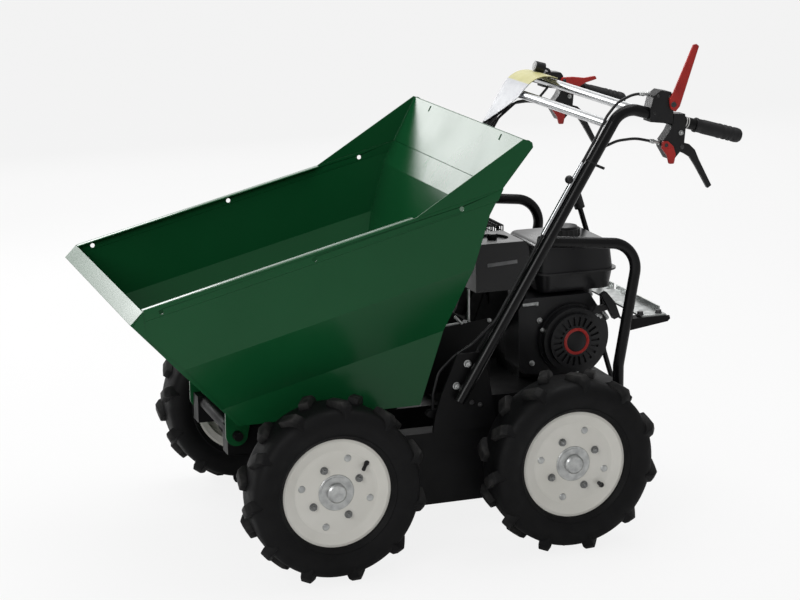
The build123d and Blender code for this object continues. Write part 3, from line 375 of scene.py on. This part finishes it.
# %% Round the edges of a solid
def soften_edges(name, width, least_angle, segments=2):
    """Rounds a solid's edges sharper than least_angle by width metres, as modifiers."""
    piece = nodes[name]
    weld = piece.modifiers.new("weld", "WELD")
    weld.merge_threshold = 0.00002
    bevel = piece.modifiers.new("rounding", "BEVEL")
    bevel.width, bevel.segments = width, segments
    bevel.limit_method, bevel.angle_limit = "ANGLE", math.radians(least_angle)
    bevel.use_clamp_overlap = True
    normals = piece.modifiers.new("flats", "WEIGHTED_NORMAL")
    normals.keep_sharp = False
    normals.weight = 80


# (width in metres, least angle in degrees, solids); the hopper's long folds are shallow
ROUNDED = [
    (0.0012, 3.0, ["hopper_tub", "hopper_back"]),
    (0.0008, 20.0, ["front_lip", "rim_band_left", "rim_band_right", "front_hems", "pivot_ears",
                    "gear_gate"]),
    (0.0015, 28.0, ["lever_clamps", "brake_levers", "lever_pawls", "red_lever_left", "red_lever_right"]),
    (0.003, 28.0, ["lever_housings", "starter_handle", "fan_shroud", "air_cleaner"]),
]
for width, least_angle, names in ROUNDED:
    for name in names:
        soften_edges(name, width, least_angle)
print("rounded", sum(len(row[2]) for row in ROUNDED), "solids")

# %% [markdown]
# New pieces start as a bmesh and end as an object. This closing step is the same for
# all of them: join doubled points, point the faces outwards, shade the round parts
# smooth and keep the corners, then let the piece ride on its part of the machine.


# %% Close a new piece
def close_piece(name, shape, body, finish, crease=32.0):
    bmesh.ops.remove_doubles(shape, verts=shape.verts, dist=0.000005)
    bmesh.ops.recalc_face_normals(shape, faces=shape.faces)
    for face in shape.faces:
        face.smooth = True
    for edge in shape.edges:
        edge.smooth = edge.calc_face_angle(0.0) < math.radians(crease)
    mesh = bpy.data.meshes.new(name)
    shape.to_mesh(mesh)
    shape.free()
    mesh.materials.append(finish)
    piece = bpy.data.objects.new(name, mesh)
    bpy.context.scene.collection.objects.link(piece)
    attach(piece, body)
    print(name, "faces:", len(mesh.polygons))
    return piece


MM = 0.001


def spot(x, y, z):
    """A place given in millimetres."""
    return Vector((x, y, z)) * MM


def turn_to(direction, place):
    """The move that stands a piece made along Z at a place, along a direction."""
    turn = Vector((0, 0, 1)).rotation_difference(Vector(direction))
    return Matrix.Translation(place) @ turn.to_matrix().to_4x4()


# %% [markdown]
# Most small fittings are turned or hexagonal: nuts, washers, studs, caps. A spun outline
# makes the turned ones, and a six-sided cone with bevelled edges the hexagons.


# %% A turned fitting
def add_turned(shape, outline, place, direction, steps=32):
    """Spins (radius, height) points in mm round an axis and stands the result at place."""
    points = [shape.verts.new((radius * MM, 0, height * MM)) for radius, height in outline]
    edges = [shape.edges.new(pair) for pair in zip(points, points[1:])]
    spun = bmesh.ops.spin(shape, geom=points + edges, cent=(0, 0, 0), axis=(0, 0, 1), dvec=(0, 0, 0),
                          angle=2 * math.pi, steps=steps, use_merge=True, use_duplicate=False)
    made = {vert for vert in spun["geom_last"] if isinstance(vert, bmesh.types.BMVert)} | set(points)
    stack = list(made)
    while stack:
        for edge in stack.pop().link_edges:
            for vert in edge.verts:
                if vert not in made:
                    made.add(vert)
                    stack.append(vert)
    bmesh.ops.remove_doubles(shape, verts=list(made), dist=0.000002)
    made = [vert for vert in made if vert.is_valid]
    bmesh.ops.transform(shape, matrix=turn_to(direction, place), verts=made)


# %% Soften a new piece's edges
def round_off(shape, edges, soft):
    """Bevels those edges by soft mm."""
    bmesh.ops.bevel(shape, geom=edges, offset=soft * MM, offset_type="OFFSET", segments=2, profile=0.5,
                    affect="EDGES", clamp_overlap=True, material=-1)


def edges_of(verts):
    """All edges that meet those points, each once."""
    return list({edge for vert in verts for edge in vert.link_edges})


# %% A prism with softened edges
def add_prism(shape, radius, height, place, direction, sides=6, soft=0.6, base=-0.3):
    """A prism from `base` to `height` mm above place, its edges bevelled by soft mm."""
    length = (height - base) * MM
    made = bmesh.ops.create_cone(shape, cap_ends=True, cap_tris=False, segments=sides, radius1=radius * MM,
                                 radius2=radius * MM, depth=length,
                                 matrix=Matrix.Translation((0, 0, base * MM + length / 2)))
    bmesh.ops.transform(shape, matrix=turn_to(direction, place), verts=made["verts"])
    round_off(shape, edges_of(made["verts"]), soft)


# %% A washer, nut and stud
def add_bolt(shape, place, direction, size=8.0, stud=2.0):
    """A hexagon of `size` mm thread on a washer, standing at place; stud is how far the thread shows."""
    washer, across, high = size * 1.05, size * 0.88, size * 0.72
    rim = [(0, -0.3), (washer, -0.3), (washer, 1.2), (washer - 0.5, 1.5), (0, 1.5)]
    add_turned(shape, rim, place, direction, 20)
    add_prism(shape, across, high + 1.5, place, direction, 6, 0.5, 1.3)
    if stud:
        top = high + 1.5 + stud
        thread = [(0, high), (size / 2, high), (size / 2, top - 0.8), (size / 2 - 0.8, top), (0, top)]
        add_turned(shape, thread, place, direction, 16)


# %% A round-headed bolt
def add_dome(shape, place, direction, radius=7.0, height=3.0):
    outline = [(0, -0.3), (radius, -0.3), (radius, height * 0.3), (radius * 0.86, height * 0.75),
               (radius * 0.5, height), (0, height)]
    add_turned(shape, outline, place, direction, 20)


print("helpers ready")

# %% [markdown]
# The tyres carry two rows of slanted lugs, staggered from side to side, that reach over
# the shoulder onto the sidewall. The solid tyre is faceted to keep it light. The one
# seen here is a spun casing with rounded shoulders and a bead ridge, and each lug is a
# bevelled block set on it at the same slant and places.

# %% Tyre sizes, in mm
WHEEL_Y, AXLE_Z = 353.0, 194.995
# (name, axle's x in mm, +1 left or -1 right)
WHEELS = [("front_left", 277.0, 1), ("front_right", 277.0, -1),
          ("rear_left", -249.0, 1), ("rear_right", -249.0, -1)]
TREAD_R, SIDE_R = 181.0, 153.0
LUG_COUNT, LUG_SLANT, LUG_W, LUG_REACH, TYRE_R = 22, math.radians(33), 25.0, 45.0, 197.0
LUG_TAPER, LUG_SOFT = 0.14, 2.2
WORN_FROM_R, WORN_OVER = 183.0, 10.0
lug_corner = LUG_REACH * math.sin(LUG_SLANT) + LUG_W / 2 * math.cos(LUG_SLANT)
LUG_TOP = math.sqrt(TYRE_R ** 2 - lug_corner ** 2)
lug_lead = math.atan2(lug_corner, LUG_TOP)
# half of the casing's cross-section, from the bead to the middle: (radius, distance from the middle)
HALF_CASING = [(115.2, 35.0), (116.4, 38.6), (119.0, 41.4), (121.6, 43.2), (123.4, 46.6), (125.2, 47.6),
               (127.2, 46.6), (132.0, 48.6), (139.0, 51.8), (147.0, 53.8), (155.0, 54.0), (163.0, 52.4),
               (170.0, 49.4), (175.5, 44.6), (178.6, 38.0), (180.2, 26.0), (181.0, 12.0), (181.2, 0.0)]
print("lug top radius", round(LUG_TOP, 1), "mm")

# %% One lug's outline
# (distance along the slant, radius)
LUG_VIEW = [(3.0, TREAD_R - 5), (7.0, LUG_TOP), (26.0, LUG_TOP + 0.6), (LUG_REACH, LUG_TOP),
            (55.0, LUG_TOP - 11), (57.5, SIDE_R + 9), (49.0, SIDE_R - 3)]


def add_lug(shape, count):
    """One bevelled lug, in a wheel frame whose axle is Y."""
    side = 1 if count % 2 else -1
    turn = -math.pi / 2 - lug_lead + (count + 0.5) * 2 * math.pi / LUG_COUNT
    out = Vector((math.cos(turn), 0, math.sin(turn)))
    along = Vector((-math.sin(turn), 0, math.cos(turn)))
    run = along * math.sin(LUG_SLANT) + Vector((0, side * math.cos(LUG_SLANT), 0))
    across = run.cross(out)
    corners = [shape.verts.new((run * s + out * r - across * LUG_W / 2) * MM) for s, r in LUG_VIEW]
    face = shape.faces.new(corners)
    pulled = bmesh.ops.extrude_face_region(shape, geom=[face])
    far = [part for part in pulled["geom"] if isinstance(part, bmesh.types.BMVert)]
    bmesh.ops.translate(shape, verts=far, vec=across * LUG_W * MM)
    # a lug is a little narrower at its tip than at its foot
    for vert in corners + far:
        rise = (vert.co.dot(out) / MM - TREAD_R) / (LUG_TOP - TREAD_R)
        sideways = vert.co.dot(across)
        vert.co -= across * sideways * LUG_TAPER * max(0.0, min(1.0, rise))
    round_off(shape, edges_of(corners + far), LUG_SOFT)


# %% One whole tyre
def make_tyre(name, axle_x, side):
    shape = bmesh.new()
    outline = HALF_CASING + [(r, -h) for r, h in reversed(HALF_CASING[:-1])] + [HALF_CASING[0]]
    add_turned(shape, outline, Vector(), (0, 1, 0), 110)
    for count in range(LUG_COUNT):
        add_lug(shape, count)
    if side < 0:
        bmesh.ops.scale(shape, vec=(1, -1, 1), verts=shape.verts)
    worn = shape.verts.layers.float.new("worn")
    for vert in shape.verts:
        radius = math.hypot(vert.co.x, vert.co.z) / MM
        vert[worn] = max(0.0, min(1.0, (radius - WORN_FROM_R) / WORN_OVER))
    bmesh.ops.translate(shape, verts=shape.verts, vec=spot(axle_x, side * WHEEL_Y, AXLE_Z))
    tyre = close_piece("lugged_tyre_" + name, shape, "wheel_" + name, tyre_rubber, 40.0)
    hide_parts("tyre_" + name)


for wheel_name, axle_x, side in WHEELS:
    make_tyre(wheel_name, axle_x, side)

# %% [markdown]
# Each wheel disc is held to its hub by four nuts with the studs showing, with four round
# heads further out. The valve comes through the disc as a short black stem.

# %% Wheel fastener places: degrees round the axle from +X to +Z, and radius in mm
NUT_ANGLES, NUT_R = (63.0, 153.0, 243.0, 333.0), 55.5
HEAD_ANGLES, HEAD_R = (12.0, 110.0, 195.0, 288.0), 75.0
VALVE_ANGLE = {"front_left": 140.0, "rear_left": 220.0, "front_right": 60.0, "rear_right": 310.0}
VALVE_R, DISC_FACE = 86.0, 28.0


def on_disc(axle_x, side, angle, radius, face=DISC_FACE):
    """A place on the outer face of a wheel's disc, in metres."""
    turn = math.radians(angle)
    return spot(axle_x + radius * math.cos(turn), side * (WHEEL_Y + face), AXLE_Z + radius * math.sin(turn))


# %% Fit the wheel fasteners
for wheel_name, axle_x, side in WHEELS:
    outward = (0, side, 0)
    nuts = bmesh.new()
    for angle in NUT_ANGLES:
        add_bolt(nuts, on_disc(axle_x, side, angle, NUT_R), outward, 8.0, 3.0)
    close_piece("wheel_nuts_" + wheel_name, nuts, "wheel_" + wheel_name, dull_zinc)
    heads = bmesh.new()
    for angle in HEAD_ANGLES:
        add_dome(heads, on_disc(axle_x, side, angle, HEAD_R), outward, 7.6, 2.6)
    add_turned(heads, [(31.0, -0.3), (38.0, -0.3), (38.0, 1.2), (37.2, 1.8), (31.0, 1.8)],
               on_disc(axle_x, side, 0, 0), outward, 48)
    close_piece("wheel_heads_" + wheel_name, heads, "wheel_" + wheel_name, zinc_plate)
    valve = bmesh.new()
    angle = math.radians(VALVE_ANGLE[wheel_name])
    lean = Vector((-math.cos(angle) * 0.75, side * 0.66, -math.sin(angle) * 0.75))
    stem = [(0, -3), (5.6, -3), (5.6, 1.5), (4.2, 4), (3.4, 12), (4.2, 12.6), (4.2, 19), (3.2, 20), (0, 20)]
    add_turned(valve, stem, on_disc(axle_x, side, VALVE_ANGLE[wheel_name], VALVE_R), lean, 20)
    close_piece("valve_" + wheel_name, valve, "wheel_" + wheel_name, moulded_black)

# %% [markdown]
# The top edges of the hopper's sides are folded inwards into a narrow flange. It
# stiffens the sheet, and because it lies nearly level it mirrors the sky as a bright
# strip. Flat plates like this, and brackets and tabs, are a cube squeezed to size and
# turned, with its edges bevelled.


# %% A flat plate
def add_plate(shape, size, middle, turn=0.0, soft=0.5):
    """A plate of size (x, y, z) in mm round middle, turned about Y by turn degrees."""
    made = bmesh.ops.create_cube(shape, size=1.0)
    bmesh.ops.scale(shape, vec=Vector(size) * MM, verts=made["verts"])
    bmesh.ops.rotate(shape, cent=(0, 0, 0), matrix=Matrix.Rotation(math.radians(turn), 3, "Y"),
                     verts=made["verts"])
    bmesh.ops.translate(shape, vec=spot(*middle), verts=made["verts"])
    round_off(shape, edges_of(made["verts"]), soft)


# %% Flanges of the hopper's sides
RIM_FRONT_X, RIM_FRONT_Z, RIM_SLOPE, FLARE_X = 652.0, 598.0, 0.249, 84.0
FLANGE_Y, FLANGE_T, FLANGE_LIFT = (314.0, 332.6), 2.4, 0.7
flange_mid_x = (RIM_FRONT_X + FLARE_X) / 2
flange_mid_z = RIM_FRONT_Z + RIM_SLOPE * (RIM_FRONT_X - flange_mid_x) + FLANGE_LIFT - FLANGE_T / 2
flange_long = (RIM_FRONT_X - FLARE_X) * math.hypot(1.0, RIM_SLOPE) - 2.0
flanges = bmesh.new()
for side in (1, -1):
    add_plate(flanges, (flange_long, FLANGE_Y[1] - FLANGE_Y[0], FLANGE_T),
              (flange_mid_x, side * sum(FLANGE_Y) / 2, flange_mid_z), math.degrees(math.atan(RIM_SLOPE)), 0.8)
close_piece("rim_flanges", flanges, "hopper", green_gloss)


# %% A straight bar
def add_rod(shape, start, end, radius, sides=12, soft=0.5):
    """A bar of that radius between two places, all in mm."""
    way = Vector(end) - Vector(start)
    add_prism(shape, radius, way.length, Vector(start) * MM, way, sides, soft, 0.0)


# %% [markdown]
# Steel frames are bolted where parts are taken off and welded where they stay. The bolts
# beside the handlebar's foot are the ones that show, with smaller ones lower down.

# %% Bolts of the handlebar's foot and bracket, (x, z) in mm
FOOT_BOLTS = [(-50.5, 407.5), (-25.5, 361.5)]
PLATE_BOLTS, PLATE_OUT_Y = [(-79.0, 315.0), (-60.0, 322.0)], 277.5
frame_bolts = bmesh.new()
for side in (1, -1):
    for x, z in FOOT_BOLTS:
        add_bolt(frame_bolts, spot(x, side * PLATE_OUT_Y, z), (0, side, 0), 8.0, 1.5)
close_piece("frame_bolts", frame_bolts, "chassis", zinc_plate)
plate_bolts = bmesh.new()
for side in (1, -1):
    for x, z in PLATE_BOLTS:
        add_bolt(plate_bolts, spot(x, side * PLATE_OUT_Y, z), (0, side, 0), 5.0, 1.5)
close_piece("plate_bolts", plate_bolts, "chassis", blued_steel)

# %% Black screws that hold the gear gate to its brackets
GATE_SCREWS, GATE_TOP_Z = [(-470.0, 237.0), (-514.0, 237.0), (-470.0, -237.0), (-514.0, -237.0)], 466.0
gate_screws = bmesh.new()
for x, y in GATE_SCREWS:
    add_bolt(gate_screws, spot(x, y, GATE_TOP_Z), (0, 0, 1), 7.5, 0.0)
close_piece("gate_screws", gate_screws, "chassis", blued_steel)

# %% [markdown]
# Each grip is a moulded rubber sleeve with a flange at the front, finger ridges and a
# rounded end. It is a turned form, so one outline spun round the bar makes it, and it
# stands for the plain sleeve of the solids.

# %% The bar's rear run and the grips on it
BAR_Y = 290.0
BAR_CORNER, BAR_END = Vector((-394.0, 0.0, 934.0)), Vector((-669.0, 0.0, 855.0))
bar_back = (BAR_END - BAR_CORNER).normalized()
GRIP_OUTLINE = [(12.6, 0.0), (15.6, 0.0), (15.9, 1.0), (15.9, 4.0), (14.6, 5.6), (14.6, 17.0),
                (15.3, 20.0), (15.3, 56.0), (15.9, 59.0), (15.9, 63.5), (14.8, 66.0), (14.8, 68.5),
                (15.9, 71.0), (15.9, 75.5), (14.8, 78.0), (14.8, 80.5), (15.9, 83.0), (15.9, 87.5),
                (14.8, 90.0), (14.8, 92.5), (15.9, 95.0), (15.9, 103.0), (15.0, 109.0), (12.4, 112.6),
                (8.0, 113.8), (0.0, 113.9)]
GRIP_START = 109.25
grips = bmesh.new()
for side in (1, -1):
    foot = (BAR_END - bar_back * GRIP_START) * MM
    foot.y = side * BAR_Y * MM
    add_turned(grips, GRIP_OUTLINE, foot, bar_back, 40)
ribbed_grips = close_piece("ribbed_grips", grips, "chassis", grip_rubber, 50.0)
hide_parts("grips")


# %% [markdown]
# The cables end in plated adjusters screwed into the lever bodies: a hexagon, a thin
# threaded neck and a ferrule. They are small, but they are bright on black and catch
# the eye. Each bar also carries two thin white rings.

# %% Cable adjusters and clamp screws
def along_bar(distance, side=1):
    """A place on the bar's axis, that far behind its corner, in metres."""
    place = (BAR_CORNER + bar_back * distance) * MM
    place.y = side * BAR_Y * MM
    return place


ADJUSTER = [(0, -2), (5.4, -2), (5.4, 3), (3.8, 3.4), (3.8, 11), (4.9, 11.4), (4.9, 15.5), (4.2, 16.2),
            (4.2, 21), (3.3, 22), (0, 22)]
control_bits = bmesh.new()
add_turned(control_bits, ADJUSTER, spot(-455.5, BAR_Y, 957.4), (1.0, 0.0, 0.05), 20)
for side in (1, -1):
    add_turned(control_bits, ADJUSTER, spot(-480.0, side * BAR_Y, 852.6), (0.97, 0.0, 0.23), 20)
    add_bolt(control_bits, spot(-525.7, side * BAR_Y + 14.0, 872.6), (0, 1, 0), 5.0, 1.5)
    add_bolt(control_bits, spot(-525.7, side * BAR_Y - 14.0, 872.6), (0, -1, 0), 5.0, 0.0)
close_piece("cable_adjusters", control_bits, "chassis", zinc_plate)

# %% Pivot pins of the red keys and brake levers
lever_pins = bmesh.new()
for side in (1, -1):
    add_dome(lever_pins, spot(-489.0, side * BAR_Y + 20.0, 849.0), (0, 1, 0), 4.2, 1.6)
    add_dome(lever_pins, spot(-529.0, side * BAR_Y + 14.0, 842.0), (0, 1, 0), 5.0, 2.0)
    add_dome(lever_pins, spot(-529.0, side * BAR_Y - 14.0, 842.0), (0, -1, 0), 5.0, 2.0)
add_dome(lever_pins, spot(-503.0, 313.0, 935.0), (0, 1, 0), 6.0, 2.4)
add_dome(lever_pins, spot(-508.0, -267.0, 910.5), (0, 1, 0), 5.0, 2.0)
for x, z in ((-462.0, 918.0), (-470.0, 954.0), (-497.0, 951.0)):
    add_dome(lever_pins, spot(x, 307.0, z), (0, 1, 0), 3.6, 1.4)
close_piece("lever_pins", lever_pins, "chassis", blued_steel)

# %% Key face of the stop switch
SWITCH_FACE = (-424.3, -249.0, 953.0)
switch_face = bmesh.new()
add_turned(switch_face, [(0, 1.4), (6.0, 1.4), (6.4, 0.9), (10.4, 0.9), (11.2, 0.3), (11.2, -0.4), (0, -0.4)],
           spot(*SWITCH_FACE), -bar_back, 32)
close_piece("switch_face", switch_face, "chassis", label_grey)

# %% White rings and the cable tie on the bars
TIE_PLACE, TIE_TURN = (-324.9, BAR_Y, 820.3), (BAR_CORNER - Vector((-27.0, 0.0, 330.0))).normalized()
bar_rings = bmesh.new()
# two thin white rings round each bar, 151.5 and 156.5 mm behind its corner
for side in (1, -1):
    for distance in (151.5, 156.5):
        add_turned(bar_rings, [(12.3, 0), (12.8, 0.2), (12.8, 2.0), (12.3, 2.2)],
                   along_bar(distance, side), bar_back, 32)
close_piece("white_bar_rings", bar_rings, "chassis", ring_white)
tie = bmesh.new()
add_turned(tie, [(12.3, -2.4), (14.0, -2.2), (14.0, 2.2), (12.3, 2.4)], spot(*TIE_PLACE), TIE_TURN, 36)
add_prism(tie, 3.2, 22.0, spot(-333.0, 293.0, 815.0), (-0.93, 0.12, -0.42), 4, 0.6, -4.0)
close_piece("cable_tie", tie, "chassis", moulded_black)

# %% [markdown]
# The recoil starter's middle carries a plain red ring round a black disc, with nothing
# written on it. Screws hold the starter to the fan cover.

# %% The starter's ring and middle
CRANK_X, CRANK_Z, STARTER_FACE_Y, FLANGE_FACE_Y, SHROUD_FACE_Y = -355.0, 397.0, 158.0, 133.0, 125.0
red_ring = bmesh.new()
add_turned(red_ring, [(23.5, -0.4), (23.5, 0.9), (24.3, 1.3), (29.4, 1.3), (30.2, 0.7), (30.2, -0.4)],
           spot(CRANK_X, STARTER_FACE_Y, CRANK_Z), (0, 1, 0), 64)
close_piece("starter_ring", red_ring, "chassis", moulded_red)
middle_disc = bmesh.new()
add_turned(middle_disc, [(0, 1.8), (10, 1.7), (18, 1.3), (22.6, 0.6), (23.4, -0.3), (0, -0.4)],
           spot(CRANK_X, STARTER_FACE_Y, CRANK_Z), (0, 1, 0), 64)
close_piece("starter_middle", middle_disc, "chassis", engine_gloss)

# %% Starter and cover screws
cover_screws = bmesh.new()
for angle in (20.0, 140.0, 262.0):
    place = spot(CRANK_X + 76.0 * math.cos(math.radians(angle)), FLANGE_FACE_Y,
                 CRANK_Z + 76.0 * math.sin(math.radians(angle)))
    add_bolt(cover_screws, place, (0, 1, 0), 5.0, 0.0)
for x, z in ((-280.0, 444.0), (-262.0, 348.0), (-424.0, 440.0)):
    add_bolt(cover_screws, spot(x, SHROUD_FACE_Y, z), (0, 1, 0), 6.0, 0.0)
close_piece("cover_screws", cover_screws, "chassis", zinc_plate)

# %% [markdown]
# The filler cap is moulded with ribs. One rib is a bevelled bar, and the same bar is
# made again at even turns round the cap.

# %% Ribs of the filler cap
CAP_X, CAP_Y, CAP_R, CAP_LOW, CAP_HIGH, RIB_COUNT = -368.0, 55.0, 33.4, 614.5, 631.5, 18
cap_ribs = bmesh.new()
for count in range(RIB_COUNT):
    angle = count * 2 * math.pi / RIB_COUNT
    place = spot(CAP_X + CAP_R * math.cos(angle), CAP_Y + CAP_R * math.sin(angle), CAP_LOW)
    add_prism(cap_ribs, 2.6, CAP_HIGH - CAP_LOW, place, (0, 0, 1), 10, 0.8, 0.0)
add_turned(cap_ribs, [(0, 4.0), (12, 3.6), (20, 2.4), (25, 0.6), (26, -0.4), (0, -0.4)],
           spot(CAP_X, CAP_Y, 633.0), (0, 0, 1), 48)
close_piece("filler_cap_ribs", cap_ribs, "chassis", moulded_black)


# %% [markdown]
# The air cleaner's side carries a narrow grey strip, left blank.

# %% Blank strip of the air cleaner
strip = bmesh.new()
add_plate(strip, (70.0, 1.2, 8.0), (-198.0, 110.2, 576.0), 3.0, 0.4)
close_piece("blank_strip", strip, "chassis", label_grey)

# %% Engine brackets, throttle rod, tank screws and linkage fork
bright_bits = bmesh.new()
add_plate(bright_bits, (38.0, 3.0, 7.0), (-258.0, 126.0, 482.5), 2.0, 0.8)
add_bolt(bright_bits, spot(-272.0, 127.4, 482.0), (0, 1, 0), 4.0, 1.0)
add_rod(bright_bits, (-105.0, 145.0, 440.0), (-105.0, 145.0, 534.0), 3.2, 12, 0.6)
add_rod(bright_bits, (-416.0, 90.0, 468.0), (-416.0, 90.0, 501.0), 4.0, 6, 0.6)
add_bolt(bright_bits, spot(-416.0, 93.0, 484.0), (0, 1, 0), 5.5, 1.5)
add_bolt(bright_bits, spot(-150.5, 150.4, 462.5), (0, 1, 0), 4.5, 1.0)
add_rod(bright_bits, (-46.0, 149.0, 459.0), (-86.0, 153.0, 464.0), 2.6, 10, 0.5)
add_rod(bright_bits, (-70.0, 153.0, 478.0), (-86.0, 153.0, 461.0), 3.6, 10, 0.5)
close_piece("engine_bright_bits", bright_bits, "chassis", zinc_plate)

# %% Spring on the starter side, one coil after another
spring = bmesh.new()
for count in range(9):
    add_turned(spring, [(4.4, 0.0), (5.3, 0.4), (5.3, 1.2), (4.4, 1.6), (4.4, 0.0)],
               spot(-430.0 - 1.5 * count, 127.0, 452.0 - 2.1 * count), (0.58, 0.0, 0.81), 16)
add_rod(spring, (-428.5, 127.0, 454.0), (-443.5, 127.0, 433.0), 4.5, 10, 0.4)
close_piece("governor_spring", spring, "chassis", zinc_plate)

# %% [markdown]
# The muffler gets hot, so a cage of welded wire keeps hands off it. A row of bars each
# way on the top and round the four sides makes the mesh. It stands for the slotted
# cover of the solids, at the same place and size.

# %% The cage's box and wires, in mm
CAGE_LOW, CAGE_HIGH, WIRE_R, WIRE_STEP = (-262.5, -148.5, 532.0), (-141.5, -45.5, 626.4), 1.6, 13.0


def even_places(low, high):
    """Even places from low to high, about WIRE_STEP apart."""
    count = max(1, round((high - low) / WIRE_STEP))
    return [low + (high - low) * part / count for part in range(count + 1)]


def add_wire(start, end):
    add_rod(cage, start, end, WIRE_R, 8, 0.3)


(cage_x0, cage_y0, cage_z0), (cage_x1, cage_y1, cage_z1) = CAGE_LOW, CAGE_HIGH
cage = bmesh.new()
for x in even_places(cage_x0, cage_x1):
    add_wire((x, cage_y0, cage_z1), (x, cage_y1, cage_z1))
    for y in (cage_y0, cage_y1):
        add_wire((x, y, cage_z0), (x, y, cage_z1))
for y in even_places(cage_y0, cage_y1):
    add_wire((cage_x0, y, cage_z1), (cage_x1, y, cage_z1))
    # the corner uprights are already there, so this makes them twice
    for x in (cage_x0, cage_x1):
        add_wire((x, y, cage_z0), (x, y, cage_z1))
for z in even_places(cage_z0, cage_z1)[:-1]:
    for y in (cage_y0, cage_y1):
        add_wire((cage_x0, y, z), (cage_x1, y, z))
    for x in (cage_x0, cage_x1):
        add_wire((x, cage_y0, z), (x, cage_y1, z))
for x in (-230.0, -176.0):
    add_rod(cage, (x, -97.0, 605.0), (x, -97.0, cage_z1), 4.0, 10, 0.4)
wire_cage = close_piece("muffler_cage", cage, "chassis", dark_cast)
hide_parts("muffler_guard")

# %% [markdown]
# A plain black side plate stands on the frame's middle bar, ahead of the engine. Its
# place is a guess, and so is its outline. Its top edge rises a little rearwards.
# The plate is cut from a flat one by two slanting planes, along the top and the front.

# %% The side plate
SHIELD_X, SHIELD_Y, SHIELD_Z = (-152.0, 40.0), (148.0, 150.5), (310.9, 470.0)
# (a place on the edge, the edge's direction) in side view: the sloping top, then the front along the hopper
SHIELD_CUTS = [((-152.0, 467.0), (-110.0, 11.5)), ((-5.0, 452.0), (-43.0, 139.0))]
shield = bmesh.new()
made = bmesh.ops.create_cube(shield, size=1.0)
shield_spans = (SHIELD_X, SHIELD_Y, SHIELD_Z)
bmesh.ops.scale(shield, vec=Vector([high - low for low, high in shield_spans]) * MM, verts=made["verts"])
bmesh.ops.translate(shield, vec=spot(*[sum(span) / 2 for span in shield_spans]), verts=made["verts"])
for (edge_x, edge_z), (along_x, along_z) in SHIELD_CUTS:
    whole = shield.verts[:] + shield.edges[:] + shield.faces[:]
    cut = bmesh.ops.bisect_plane(shield, geom=whole, dist=0.000001, plane_co=spot(edge_x, 0.0, edge_z),
                                 plane_no=Vector((along_z, 0.0, -along_x)), clear_outer=True)
    rim_edges = [part for part in cut["geom_cut"] if isinstance(part, bmesh.types.BMEdge)]
    bmesh.ops.holes_fill(shield, edges=rim_edges)
round_off(shield, shield.edges[:], 0.6)
close_piece("side_plate", shield, "chassis", frame_matt)
